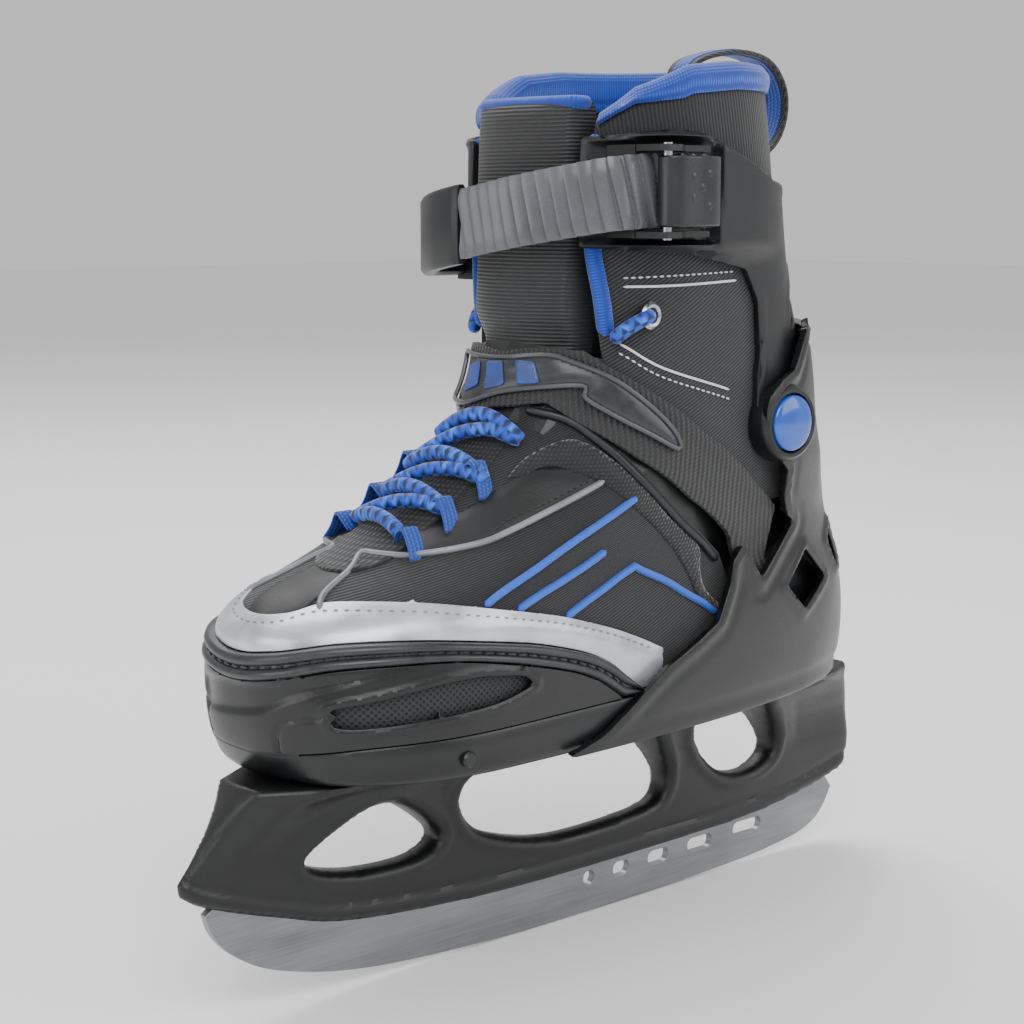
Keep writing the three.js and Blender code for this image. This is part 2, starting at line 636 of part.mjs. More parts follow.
// A flat ribbon that follows a path, `across` wide along Y and `thick` through.
function ribbon(points, across, thick, steps) {
  const path = new THREE.CatmullRomCurve3(points.map((p) => new THREE.Vector3(...p)));
  const rings = [];
  for (let i = 0; i <= steps; i += 1) {
    const at = path.getPointAt(i / steps);
    const along = path.getTangentAt(i / steps);
    const side = new THREE.Vector3(0, 1, 0);
    const out = new THREE.Vector3().crossVectors(along, side).normalize();
    side.crossVectors(out, along).normalize();
    const corner = (s, o) => at.clone().addScaledVector(side, s * across / 2).addScaledVector(out, o * thick / 2);
    rings.push([corner(-1, -1), corner(1, -1), corner(1, 1), corner(-1, 1)]);
  }
  return loft(rings);
}

function makePullLoop() {
  const rim = gz(285);
  const back = bootCut(gz(262)).heel + layer.shellOut + 2;
  return ribbon([
    [gx(47), 0, rim + 9.4], [gx(56), 0, rim + 13], [gx(74), 0, rim + 15.6], [gx(90), 0, rim + 12],
    [gx(98), 0, rim + 1], [gx(93), 0, rim - 14], [back, 0, rim - 28],
  ], 12, 1.6, 16);
}

// ---------------------------------------------------------------- ladder strap and its bracket
const bracket = { x: gx(-5), z: gz(236.5) };
bracket.wall = sideY(bracket.x, bracket.z, layer.shellOut);
const buckleZ = gz(252);
const channelWall = sideY(gx(8), buckleZ, layer.shellOut);
const baseWall = 2.4;
const channelGap = 0.5;
const hinge = { x: bracket.x, y: bracket.wall + 4.6, pin: 1.4, barrel: 2.7 };
const ladderInner = channelWall + seatGap + baseWall + channelGap; // inner face of the strap at the buckle
const ladderMiddle = hinge.y + ladderInner + ladderThickness / 2; // radius about the hinge
const rise = (buckleZ - bracket.z) / (ladderInner + hinge.y);

function arcPoint(x) {
  return [x, hinge.y - Math.sqrt(ladderMiddle ** 2 - (x - hinge.x) ** 2)];
}

function makeLadder() {
  const shin = frontX(0, gz(240), 4) - 3.4;
  const path = new THREE.CatmullRomCurve3([
    [hinge.x, hinge.y], [hinge.x - 8, hinge.y], [gx(-27), gy(46)], [shin - 2, gy(31)], [shin - 4, gy(10)],
    [shin - 4, gy(-10)], [shin, gy(-29)], [gx(-29), gy(-44)], arcPoint(gx(-20)), arcPoint(gx(-8)), arcPoint(gx(3)),
    arcPoint(gx(13)),
  ].map(([x, y]) => new THREE.Vector3(x, y, 0)), false, 'centripetal');
  const length = path.getLength();
  const inner = [];
  const outer = [];
  const plain = 30; // smooth stretch beside the hinge
  const teeth = Math.floor((length - plain) / toothPitch);
  const offsetPoint = (s, off) => {
    const at = path.getPointAt(Math.min(1, s / length));
    const along = path.getTangentAt(Math.min(1, s / length));
    return [at.x + along.y * off, at.y - along.x * off];
  };
  const halfThick = ladderThickness / 2;
  for (let s = 0; s <= length + 0.01; s += length / 36) inner.push(offsetPoint(s, halfThick));
  const bare = halfThick - toothHeight;
  for (const s of [0, plain * 0.33, plain * 0.66]) outer.push(offsetPoint(s, -halfThick));
  for (let i = 0; i < teeth; i += 1) {
    const start = plain + i * toothPitch;
    outer.push(offsetPoint(start, -halfThick));
    outer.push(offsetPoint(start + toothPitch * 0.85, -bare));
  }
  outer.push(offsetPoint(length, -bare));
  const outline = [...inner, ...outer.reverse()];
  const flat = planPrism(outline, -ladderWidth / 2, ladderWidth / 2);
  const half = ladderWidth / 2;
  const strap = flat.add(rod(hinge.barrel, [hinge.x, hinge.y, -half], [hinge.x, hinge.y, half], 16))
    .subtract(rod(hinge.pin + pinGap, [hinge.x, hinge.y, -half - 1], [hinge.x, hinge.y, half + 1], 16));
  return strap.warp((v) => {
    v[2] += bracket.z + (hinge.y - v[1]) * rise;
  });
}

const lugWall = 2.6;
const lugLow = bracket.z - ladderWidth / 2 - seatGap - 0.2;
const lugHigh = bracket.z + ladderWidth / 2 + seatGap + 0.2;
const bracketScrew = { x: bracket.x + 10, z: bracket.z, radius: 2.2, head: 4 };
bracketScrew.seat = sideY(bracketScrew.x, bracketScrew.z, layer.shellOut) + seatGap + 1.2;

function makeBracket() {
  const low = lugLow - lugWall;
  const high = lugHigh + lugWall;
  const form = bootSolid(gz(205), gz(268), layer.shellOut + seatGap);
  const block = box([hinge.x - 7, 0, low], [hinge.x + 17, hinge.y + 1.5, high]).subtract(form)
    .subtract(box([-far, -far, low - 1], [far, gy(30), high + 1]));
  const cheek = (z) => rod(hinge.barrel + 0.6, [hinge.x, hinge.y, z], [hinge.x, hinge.y, z + lugWall], 16);
  const room = rod(hinge.barrel + seatGap, [hinge.x, hinge.y, lugLow], [hinge.x, hinge.y, lugHigh], 16);
  const open = box([-far, hinge.y - hinge.barrel, lugLow], [hinge.x, far, lugHigh]);
  const { x, z, radius, head, seat } = bracketScrew;
  return block.add(cheek(low)).add(cheek(lugHigh)).subtract(room).subtract(open)
    .subtract(rod(hinge.pin + pinGap, [hinge.x, hinge.y, low - 1], [hinge.x, hinge.y, high + 1], 16))
    .subtract(rod(radius + seatGap, [x, 0, z], [x, far, z], 12))
    .subtract(rod(head + seatGap, [x, seat, z], [x, far, z], 16));
}

function makeLadderPin() {
  return rod(hinge.pin, [hinge.x, hinge.y, lugLow - lugWall], [hinge.x, hinge.y, lugHigh + lugWall], 16);
}

function makeBracketScrew() {
  const { x, z, radius, head, seat } = bracketScrew;
  const inY = sideY(x + radius, z, 0) + fitGap;
  const under = seat + 0.1 - inY;
  return turned([[0, 0], [radius, 0], [radius, under], [head, under], [head - 0.4, under + 1.6], [1.3, under + 1.6],
    [1.3, under + 0.7], [0, under + 0.7]], [x, inY, z], new THREE.Vector3(0, 1, 0), 16);
}

// ---------------------------------------------------------------- ratchet buckle
const lever = { width: ladderWidth - 1, length: 25, pinX: gx(-15.5) };
const earWall = 2;
const strapFace = ladderInner + ladderThickness; // outer face of the strap at the buckle
lever.pinY = -(strapFace + 3.4);
const pawlPin = { x: lever.pinX + 9, y: -(strapFace + 3.2) };
const baseX = [gx(-21.5), gx(9)];
const buckleScrews = [[gx(3.5), buckleZ - 6], [gx(3.5), buckleZ + 6]];

function makeBuckleBase() {
  const halfEar = ladderWidth / 2 + 0.9;
  const floorY = -(ladderInner - channelGap);
  const low = buckleZ - halfEar - earWall;
  const high = buckleZ + halfEar + earWall;
  const form = bootSolid(gz(225), gz(278), layer.shellOut + seatGap);
  const channel = rod(ladderMiddle - ladderThickness / 2 - channelGap, [hinge.x, hinge.y, low - 1],
    [hinge.x, hinge.y, high + 1], 96);
  let base = box([baseX[0], floorY, low], [baseX[1], floorY + 14, high]).intersect(channel).subtract(form)
    .subtract(box([-far, -gy(33), low - 1], [far, far, high + 1]));
  const ear = [[baseX[0], floorY + 1], [baseX[0], lever.pinY - 2.4], [baseX[0] + 3, lever.pinY - 3.2],
    [lever.pinX + 3, lever.pinY - 3.2], [lever.pinX + 12, floorY - 3], [baseX[1], floorY - 2], [baseX[1], floorY + 1]];
  for (const side of [low, high - earWall]) base = base.add(planPrism(ear.slice().reverse(), side, side + earWall));
  const hole = leverPinRadius + 0.2;
  base = base.subtract(rod(hole, [lever.pinX, lever.pinY, low - 1], [lever.pinX, lever.pinY, high + 1], 16));
  for (const [x, z] of buckleScrews) {
    base = base.subtract(rod(1.8 + seatGap, [x, -far, z], [x, 0, z], 12));
    base = base.subtract(rod(3.2 + seatGap, [x, -far, z], [x, floorY + 1.6, z], 12));
  }
  return base;
}

function makeBuckleScrew(x, z) {
  const headY = -(ladderInner - channelGap) + 0.9;
  const inY = -(sideY(x, z, 0) + fitGap + 0.3);
  const length = inY - headY;
  return turned([[0, 0], [3.2, 0], [2.6, 0.6], [1.8, 0.6], [1.8, length], [0, length]],
    [x, headY, z], new THREE.Vector3(0, 1, 0), 12);
}

function makeLever() {
  const { width, length, pinX, pinY } = lever;
  const tipX = pinX - 4 + length;
  const outline = [
    [pinX - 3.2, pinY + 0.6], [pinX - 2.1, pinY + 2.2], [pinX, pinY + 3], [pinX + 3, pinY + 1.4], [pinX + 4.6, pinY - 2.6],
    [pinX + 13.4, pinY - 2.6], [tipX - 2, pinY - 1], [tipX, pinY - 1.6], [tipX, pinY - 3], [tipX - 4, pinY - 4.6],
    [pinX + 8, pinY - 6.4], [pinX, pinY - 5.2], [pinX - 3.2, pinY - 2.6],
  ];
  const low = buckleZ - width / 2;
  let body = planPrism(outline, low, low + width);
  const hole = leverPinRadius + 0.2;
  body = body.subtract(rod(hole, [pinX, pinY, low - 1], [pinX, pinY, low + width + 1], 16));
  const cheek = [[pinX + 5, pinY - 3], [pinX + 13, pinY - 3], [pinX + 12, pinY + 1.8], [pinX + 6, pinY + 1.8]];
  for (const z of [low, low + width - 2]) body = body.add(planPrism(cheek, z, z + 2));
  const pawlHole = leverPinRadius - 0.2;
  return body.subtract(rod(pawlHole, [pawlPin.x, pawlPin.y, low - 1], [pawlPin.x, pawlPin.y, low + width + 1], 12));
}

function makeLeverPin() {
  const half = ladderWidth / 2 + 0.9 + earWall + 0.6;
  return rod(leverPinRadius, [lever.pinX, lever.pinY, buckleZ - half], [lever.pinX, lever.pinY, buckleZ + half], 16);
}

function makePawlPin() {
  const half = lever.width / 2 - 0.1;
  return rod(1.1, [pawlPin.x, pawlPin.y, buckleZ - half], [pawlPin.x, pawlPin.y, buckleZ + half], 12);
}

function makePawl() {
  const half = lever.width / 2 - 2.5;
  const { x, y } = pawlPin;
  const tipY = -(strapFace + seatGap);
  const outline = [[x - 2.2, y - 0.6], [x - 1, y + 1.9], [x + 4.4, tipY], [x + 5, tipY], [x + 4.6, y + 0.4], [x + 1.6, y - 2],
    [x - 1, y - 2]];
  return planPrism(outline, buckleZ - half, buckleZ + half)
    .subtract(rod(1.35, [x, y, 0], [x, y, far], 12));
}

// ---------------------------------------------------------------- lacing
function eyelet(side) {
  const at = [gx(-4), 0, gz(212.5)];
  const wall = sideY(at[0], at[2], 0);
  const slope = sideY(at[0] + 1, at[2], 0) - sideY(at[0] - 1, at[2], 0);
  const normal = new THREE.Vector3(-slope / 2, 1, 0).normalize();
  normal.y *= side;
  at[1] = side * wall;
  const base = new THREE.Vector3(...at).addScaledVector(normal, 0.9);
  return turned([[2.4, 0], [eyeletRadius, 0], [eyeletRadius, 0.6], [3.4, 1.4], [2.4, 1]].concat([[2.4, 0]]),
    base.toArray(), normal, 16);
}

// The lace that the forefoot holds, by its turning points (x, y) down the throat.
const laceTurns = [[-50, 15], [-44, -19], [-60, 17], [-58, -18], [-72, 16], [-72, -15], [-84, 14], [-86, -11]];

// Height of the boot's form, grown by `grow`, above a place on the forefoot.
function topZ(x, y, grow) {
  let low = gz(124);
  let high = gz(204);
  for (let i = 0; i < 24; i += 1) {
    const middle = (low + high) / 2;
    const lean = leanAt(x, middle, bootCut(middle));
    if (frontX(y - lean, middle, grow) > x) high = middle;
    else low = middle;
  }
  return (low + high) / 2;
}

// A round cord along a smooth path.
function cord(points, radius, steps, sides = 8) {
  const path = new THREE.CatmullRomCurve3(points.map((p) => new THREE.Vector3(...p)), false, 'centripetal');
  const section = new THREE.Shape();
  for (let i = 0; i < sides; i += 1) {
    const angle = (2 * Math.PI * i) / sides;
    section[i ? 'lineTo' : 'moveTo'](radius * Math.cos(angle), radius * Math.sin(angle));
  }
  return solid(new THREE.ExtrudeGeometry(section, { steps, extrudePath: path, bevelEnabled: false }));
}

const panelGrow = [0.4, 1.5]; // leather panel beside the throat
const loopGrow = [1.9, 2.9]; // webbing loops on the panel
const laceGrow = 3.2;

function makeLowerLace() {
  const points = [];
  const legSteps = 4;
  for (let i = 0; i < laceTurns.length - 1; i += 1) {
    const [x0, y0] = laceTurns[i];
    const [x1, y1] = laceTurns[i + 1];
    const steps = Math.abs(y1 - y0) > 20 ? legSteps : 1;
    for (let k = 0; k < steps; k += 1) {
      const x = gx(x0 + ((x1 - x0) * k) / steps);
      const y = gy(y0 + ((y1 - y0) * k) / steps);
      points.push([x, y, topZ(x, y, laceGrow) + laceDiameter * 0.62]);
    }
  }
  return cord(points, laceDiameter / 2, 48, 6);
}

function makeEyestay(side) {
  const low = gy(14);
  const high = gy(23);
  const front = gx(-98);
  const rear = gx(-50);
  const outline = side < 0 ? [[front, -high], [rear, -high], [rear, -low], [front, -low]]
    : [[front, low + 4], [rear, low + 1], [rear, high], [front, high + 2]];
  return bootShell(gz(136), gz(184), ...panelGrow).intersect(planPrism(outline, 0, far));
}

function makeLaceLoop(side, x) {
  const y = gy(17) * side + 2;
  return bootShell(gz(136), gz(190), ...loopGrow)
    .intersect(box([gx(x) - 3, y - 4, 0], [gx(x) + 3, y + 4, far]));
}

function makeUpperLace(side) {
  const places = [[-5, 212.6], [-11, 210.4], [-15, 207.6], [-17, 205.8]];
  const points = places.map(([x, z]) => {
    const y = sideY(gx(x), gz(z), 4.8);
    return [gx(x), side * y, gz(z)];
  });
  return cord(points, laceDiameter / 2, 5, 6);
}

// ---------------------------------------------------------------- assembly
const skate = new THREE.Group();

function piece(name, body, look) {
  const mesh = new THREE.Mesh(geometryOf(body), looks[look]);
  mesh.name = name;
  skate.add(mesh);
}

piece('blade', makeBlade(), 'steel');
piece('blade_holder', makeHolder(), 'holder');
for (const [place, x] of boltPlaces) piece(`holder_bolt_${place}`, makeBolt(x), 'metal');
piece('chassis', makeChassis(), 'shell');
piece('heel_shell', makeHeelShell(), 'shell');
piece('size_button', makeButton(), 'metal');
piece('quarter', makeQuarter(), 'lining');
piece('footbed', makeFootbed(), 'lining');
for (const [side, flip] of [['outer', false], ['inner', true]]) {
  const place = (body) => (flip ? mirrorY(body) : body);
  piece(`pivot_rivet_${side}`, place(makeRivet()), 'metal');
  piece(`pivot_cap_${side}`, place(makeCap()), 'blue');
}
piece('instep_strap', makeInstepStrap(), 'webbing');
piece('strap_badge', makeBadge(), 'rubber');

piece('vamp', makeVamp(), 'twill');
piece('toe_shell', makeToeShell(), 'shell');
piece('toe_sole', makeToeSole(), 'holder');
piece('toe_welt', makeWelt(), 'rubber');
piece('toe_cap', makeToeCap(), 'silver');
piece('vent_mesh_outer', makeVentMesh(-1), 'mesh');
piece('vent_mesh_inner', makeVentMesh(1), 'mesh');
for (const [side, sign] of [['outer', -1], ['inner', 1]]) {
  piece(`lace_panel_${side}`, makeEyestay(sign), 'rubber');
  for (const [i, x] of [-58, -72, -86].entries()) piece(`lace_loop_${side}_${i + 1}`, makeLaceLoop(sign, x), 'webbing');
}
piece('lower_lace', makeLowerLace(), 'lace');

piece('cuff', makeCuff(), 'cuff');
piece('collar', makeCollar(), 'twill');
piece('tongue', makeTongue(), 'tongue');
piece('pull_loop', makePullLoop(), 'webbing');
piece('strap_bracket', makeBracket(), 'rubber');
piece('bracket_screw', makeBracketScrew(), 'metal');
piece('ladder_pin', makeLadderPin(), 'metal');
piece('buckle_base', makeBuckleBase(), 'cuff');
for (const [i, [x, z]] of buckleScrews.entries()) piece(`buckle_screw_${i + 1}`, makeBuckleScrew(x, z), 'metal');
piece('lever_pin', makeLeverPin(), 'metal');
for (const [side, sign] of [['outer', -1], ['inner', 1]]) {
  piece(`eyelet_${side}`, eyelet(sign), 'metal');
  piece(`upper_lace_${side}`, makeUpperLace(sign), 'lace');
}
piece('ladder_strap', makeLadder(), 'ladder');
piece('buckle_lever', makeLever(), 'ladder');
piece('pawl_pin', makePawlPin(), 'metal');
piece('buckle_pawl', makePawl(), 'metal');

export default skate;
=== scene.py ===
import json
import math
import bmesh
import bpy
import numpy as np
from mathutils import Matrix, Vector


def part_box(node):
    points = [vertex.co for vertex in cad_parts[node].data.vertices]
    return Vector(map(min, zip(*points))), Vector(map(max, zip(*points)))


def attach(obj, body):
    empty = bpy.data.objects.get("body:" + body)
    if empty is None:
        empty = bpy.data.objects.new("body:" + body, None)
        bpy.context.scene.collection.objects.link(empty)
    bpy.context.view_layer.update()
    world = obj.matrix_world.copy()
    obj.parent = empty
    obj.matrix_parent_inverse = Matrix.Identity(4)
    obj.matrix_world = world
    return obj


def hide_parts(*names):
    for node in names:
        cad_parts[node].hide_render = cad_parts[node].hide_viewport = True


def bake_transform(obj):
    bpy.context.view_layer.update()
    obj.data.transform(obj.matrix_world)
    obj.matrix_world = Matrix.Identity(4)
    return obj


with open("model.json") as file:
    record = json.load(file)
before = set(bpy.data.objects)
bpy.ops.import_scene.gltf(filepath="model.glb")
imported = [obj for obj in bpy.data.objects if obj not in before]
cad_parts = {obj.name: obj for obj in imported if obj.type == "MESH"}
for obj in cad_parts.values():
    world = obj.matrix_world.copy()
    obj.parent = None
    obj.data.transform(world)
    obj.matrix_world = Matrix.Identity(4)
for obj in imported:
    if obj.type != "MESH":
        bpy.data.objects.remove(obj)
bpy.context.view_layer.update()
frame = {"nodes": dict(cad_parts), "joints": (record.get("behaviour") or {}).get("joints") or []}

mm = 0.001
outer, inner = -1, 1    # the two sides of a left skate, as signs of y


# the boot's form: level cuts through the fabric boot, in millimetres

# height, toe, heel, half width, widest place, fullness of the front
bootLevels = np.array([
    [70, -126, 113, 39.5, -68, 2.5], [84, -133, 118, 42.5, -68, 2.5], [98, -135, 119, 43.5, -68, 2.5],
    [112, -135, 117, 43.5, -66, 2.4], [121, -132.5, 113.5, 43, -62, 2.3], [128, -123.5, 110, 42.5, -54, 2.2],
    [137, -102, 106.5, 42, -42, 2.1], [148, -81, 102, 41.5, -22, 2], [159, -64.5, 98, 41, -4, 2],
    [173, -48, 92, 40.5, 15, 2], [186, -39, 88, 40.5, 25, 2.1], [204, -31, 82, 41.5, 28, 2.3],
    [226, -27, 75, 43, 26, 2.6], [250, -26, 70, 44, 24, 2.7], [285, -24, 65, 45, 21, 2.7],
])
heelFullness = 2.5
toeLean = {"most": 6, "full": 130, "none": 190}    # the toe leans to the inner side
formZ = np.arange(60.0, 305.0, 1.0)
shares = np.linspace(0, 0.5, 201)


# a smooth curve through one column of the level cuts
def smoothColumn(column):
    z, value = bootLevels[:, 0], bootLevels[:, column]
    slope = np.gradient(value, z)
    i = np.clip(np.searchsorted(z, formZ) - 1, 0, len(z) - 2)
    run = z[i + 1] - z[i]
    t = np.clip((formZ - z[i]) / run, 0, 1)
    start, end = 2 * t ** 3 - 3 * t ** 2 + 1, 3 * t ** 2 - 2 * t ** 3
    return (start * value[i] + end * value[i + 1]
            + (t ** 3 - 2 * t ** 2 + t) * run * slope[i] + (t ** 3 - t ** 2) * run * slope[i + 1])


toeX, heelX, halfWidth, widestX, fullness = (smoothColumn(k) for k in range(1, 6))


def atLevel(column, z):
    return np.interp(z, formZ, column)


def leanAt(x, z):
    widest = atLevel(widestX, z)
    forward = np.clip((widest - x) / (widest - atLevel(toeX, z)), 0, 1)
    fade = np.clip((toeLean["none"] - z) / (toeLean["none"] - toeLean["full"]), 0, 1)
    return toeLean["most"] * forward ** 2 * fade


def ringPoint(angle, z, grow):
    widest = atLevel(widestX, z)
    c, s = np.cos(angle), np.sin(angle)
    power = 2 / np.where(c < 0, atLevel(fullness, z), heelFullness)
    reach = np.where(c < 0, widest - atLevel(toeX, z), atLevel(heelX, z) - widest) + grow
    x = widest + np.sign(c) * np.abs(c) ** power * reach
    return x, np.sign(s) * np.abs(s) ** power * (atLevel(halfWidth, z) + grow) + leanAt(x, z)


# at each level, the angle that lies each share of the way round, so that sheets get even quads
def ringAngles():
    fine = np.linspace(0, math.pi, 601)
    table = np.empty((len(formZ), len(shares)))
    girth = np.empty(len(formZ))
    for row, z in enumerate(formZ):
        x, y = ringPoint(fine, z, 0)
        along = np.concatenate([[0], np.cumsum(np.hypot(np.diff(x), np.diff(y)))])
        table[row] = np.interp(shares, 0.5 * along / along[-1], fine)
        girth[row] = 2 * along[-1]
    return table, girth


angleTable, girthAt = ringAngles()


# points of the form, grown by a layer: share runs from the heel (0) by the inner side to the toe (0.5),
# and back by the outer side (1)
def formPoints(share, z, grow=0.0):
    share, z = np.broadcast_arrays(np.asarray(share, float), np.asarray(z, float))
    side = np.where(share > 0.5, -1, 1)
    half = np.where(share > 0.5, 1 - share, share)
    row = np.clip(z - formZ[0], 0, len(formZ) - 1.001)
    column = np.clip(half / shares[1], 0, len(shares) - 1.001)
    r, c = row.astype(int), column.astype(int)
    tr, tc = row - r, column - c
    angle = ((angleTable[r, c] * (1 - tc) + angleTable[r, c + 1] * tc) * (1 - tr)
             + (angleTable[r + 1, c] * (1 - tc) + angleTable[r + 1, c + 1] * tc) * tr)
    x, y = ringPoint(side * angle, z, grow)
    return np.stack([x, y, z], -1)


# how far round the form the place x lies, at one height
def shareAt(x, z, side=outer, grow=0.0):
    widest = atLevel(widestX, z)
    front = x < widest
    reach = (widest - atLevel(toeX, z) if front else atLevel(heelX, z) - widest) + grow
    n = float(atLevel(fullness, z)) if front else heelFullness
    c = min(1.0, abs(x - widest) / reach) ** (n / 2)
    angle = math.acos(-c if front else c)
    half = float(np.interp(angle, angleTable[int(round(z - formZ[0]))], shares))
    return half if side == inner else 1 - half


# a point on the boot's side, from its side view
def sidePoint(x, z, side=outer, grow=0.0):
    return formPoints(shareAt(x, z, side, grow), z, grow)


# height of the boot above a place on the forefoot
def topPoint(x, y, grow=0.0):
    low, high = 122.0, 215.0
    for _ in range(26):
        z = (low + high) / 2
        widest = atLevel(widestX, z)
        n = atLevel(fullness, z)
        part = min(1.0, abs(y - leanAt(x, z)) / (atLevel(halfWidth, z) + grow))
        front = widest - (widest - atLevel(toeX, z) + grow) * (1 - part ** n) ** (1 / n)
        low, high = (low, z) if front > x else (z, high)
    return np.array([x, y, (low + high) / 2])


# lines

# a smooth line through points; a point given twice is a corner
def lineThrough(points, steps=6, closed=False):
    points = [np.array(p, float) for p in points]
    if closed:
        points.append(points[0])
    corner = [i for i in range(1, len(points)) if np.allclose(points[i], points[i - 1])]
    runs, start = [], 0
    for i in corner + [len(points)]:
        runs.append(points[start:i])
        start = i
    whole = closed and not corner
    line = []
    for run in runs:
        if len(run) < 2:
            line += run
            continue
        before = run[-2] if whole else 2 * run[0] - run[1]
        after = run[1] if whole else 2 * run[-1] - run[-2]
        padded = [before, *run, after]
        for a, b, c, d in zip(padded, padded[1:], padded[2:], padded[3:]):
            for t in np.arange(steps) / steps:
                line.append(0.5 * (2 * b + (c - a) * t + (2 * a - 5 * b + 4 * c - d) * t ** 2
                                   + (3 * b - a - 3 * c + d) * t ** 3))
        line.append(run[-1])
    return np.array(line[:-1] if closed else line)


# the same line cut into equal steps
def evenly(line, step):
    line = np.asarray(line, float)
    along = np.concatenate([[0], np.cumsum(np.linalg.norm(np.diff(line, axis=0), axis=1))])
    count = max(1, int(round(along[-1] / step)))
    at = np.linspace(0, along[-1], count + 1)
    return np.stack([np.interp(at, along, line[:, k]) for k in range(line.shape[1])], -1)


# distance inside a closed outline, negative outside it
def insideOutline(points, outline):
    start, end = outline, np.roll(outline, -1, axis=0)
    nearest = np.full(len(points), 1e9)
    within = np.zeros(len(points), bool)
    for a, b in zip(start, end):
        along = b - a
        length = along @ along
        if length < 1e-12:
            continue
        t = np.clip((points - a) @ along / length, 0, 1)
        nearest = np.minimum(nearest, np.linalg.norm(points - a - t[:, None] * along, axis=1))
        crosses = (a[1] > points[:, 1]) != (b[1] > points[:, 1])
        if a[1] != b[1]:
            within ^= crosses & (points[:, 0] < a[0] + (points[:, 1] - a[1]) * along[0] / along[1])
    return np.where(within, nearest, -nearest)


# the same test in a side view of points in space
def insideSide(points, outline):
    return insideOutline(points[:, [0, 2]], outline)


def bump(distance, middle, width):
    return np.exp(-((distance - middle) / width) ** 2)


def ease(value, low, high):
    t = np.clip((value - low) / (high - low), 0, 1)
    return t * t * (3 - 2 * t)


# sheets, tubes and turned pieces

def setPlaces(bm, places):
    for vert, place in zip(bm.verts, np.asarray(places) * mm):
        vert.co = place


def gridPlaces(bm):
    flat = np.array([v.co[:2] for v in bm.verts]) + 0.5
    return flat[:, 0], flat[:, 1]


def faceOutwards(bm, middle=None):
    middle = Vector(middle) if middle else sum((v.co for v in bm.verts), Vector()) / len(bm.verts)
    bm.normal_update()
    if sum((f.calc_center_median() - middle).dot(f.normal) * f.calc_area() for f in bm.faces) < 0:
        bmesh.ops.reverse_faces(bm, faces=bm.faces)
    bm.normal_update()


# millimetres round the form from the middle of the toe, towards the outer side
def roundFromToe(share, z):
    return (share - 0.5) * np.interp(z, formZ, girthAt)


# a line of (x, z) or (x, z, y) places as (distance round from the toe, z); y is given, and used,
# where the form turns across the skate
def developed(line, side=outer):
    made = []
    for place in line:
        x, z = place[:2]
        share = shareAt(x, z, side)
        if len(place) == 3 and abs(place[2]) < 0.7 * atLevel(halfWidth, z):
            n = float(atLevel(fullness, z))
            part = min(1.0, abs(place[2] - leanAt(x, z)) / atLevel(halfWidth, z)) ** (n / 2)
            row = angleTable[int(round(z - formZ[0]))]
            half = float(np.interp(math.pi - math.asin(part), row, shares))
            share = 1 - half if place[2] < leanAt(x, z) else half
        made.append([roundFromToe(share, z), z])
    return np.array(made)


# points on the form from their developed places
def onForm(line, grow=0.0):
    line = np.asarray(line, float)
    return formPoints(0.5 + line[:, 0] / np.interp(line[:, 1], formZ, girthAt), line[:, 1], grow)


def mirrored(line):
    return np.asarray(line, float) * [-1, 1]


# A sheet of even quads on the boot's form. grow is a number or a function of (points, round, z), and keep
# is a field of the same three: the sheet is kept where it is above zero.
def formSheet(fromShare, toShare, lowZ, highZ, grow=0.0, cell=1.5, keep=None):
    girth = float(np.interp((lowZ + highZ) / 2, formZ, girthAt))
    across = max(2, round((toShare - fromShare) * girth / cell))
    up = max(2, round((highZ - lowZ) / cell))
    bm = bmesh.new()
    bmesh.ops.create_grid(bm, x_segments=across, y_segments=up, size=0.5)
    bm.verts.ensure_lookup_table()
    u, v = gridPlaces(bm)
    share, z = (fromShare + u * (toShare - fromShare)) % 1, lowZ + v * (highZ - lowZ)
    layerMap(bm, (fromShare + u * (toShare - fromShare)) * girth * mm, z * mm)
    points, along = formPoints(share, z), roundFromToe(share, z)
    if callable(grow):
        grow = grow(points, along, z)
    setPlaces(bm, formPoints(share, z, grow))
    if keep:
        trim(bm, keep(points, along, z))
    if toShare - fromShare > 0.999:
        bmesh.ops.remove_doubles(bm, verts=bm.verts, dist=1e-6)
    faceOutwards(bm)
    return bm


# a closed wall that follows the form: section(share) gives its loop of (grow, z)
def formBeam(fromShare, toShare, section, cell=2.0, level=100.0):
    girth = float(np.interp(level, formZ, girthAt))
    steps = max(2, round((toShare - fromShare) * girth / cell))
    share = np.linspace(fromShare, toShare, steps + 1)
    loops = []
    for grow, z in section(share % 1):
        z, grow = np.broadcast_to(z, share.shape), np.broadcast_to(grow, share.shape)
        loops.append(formPoints(share % 1, z, grow))
    return sweep(np.stack(loops, axis=1))


# the piece's own map for weaves: metres along and across its surface
def layerMap(bm, along, across):
    layer = bm.loops.layers.uv.new("weave")
    bm.verts.index_update()
    for face in bm.faces:
        for loop in face.loops:
            loop[layer].uv = (along[loop.vert.index], across[loop.vert.index])


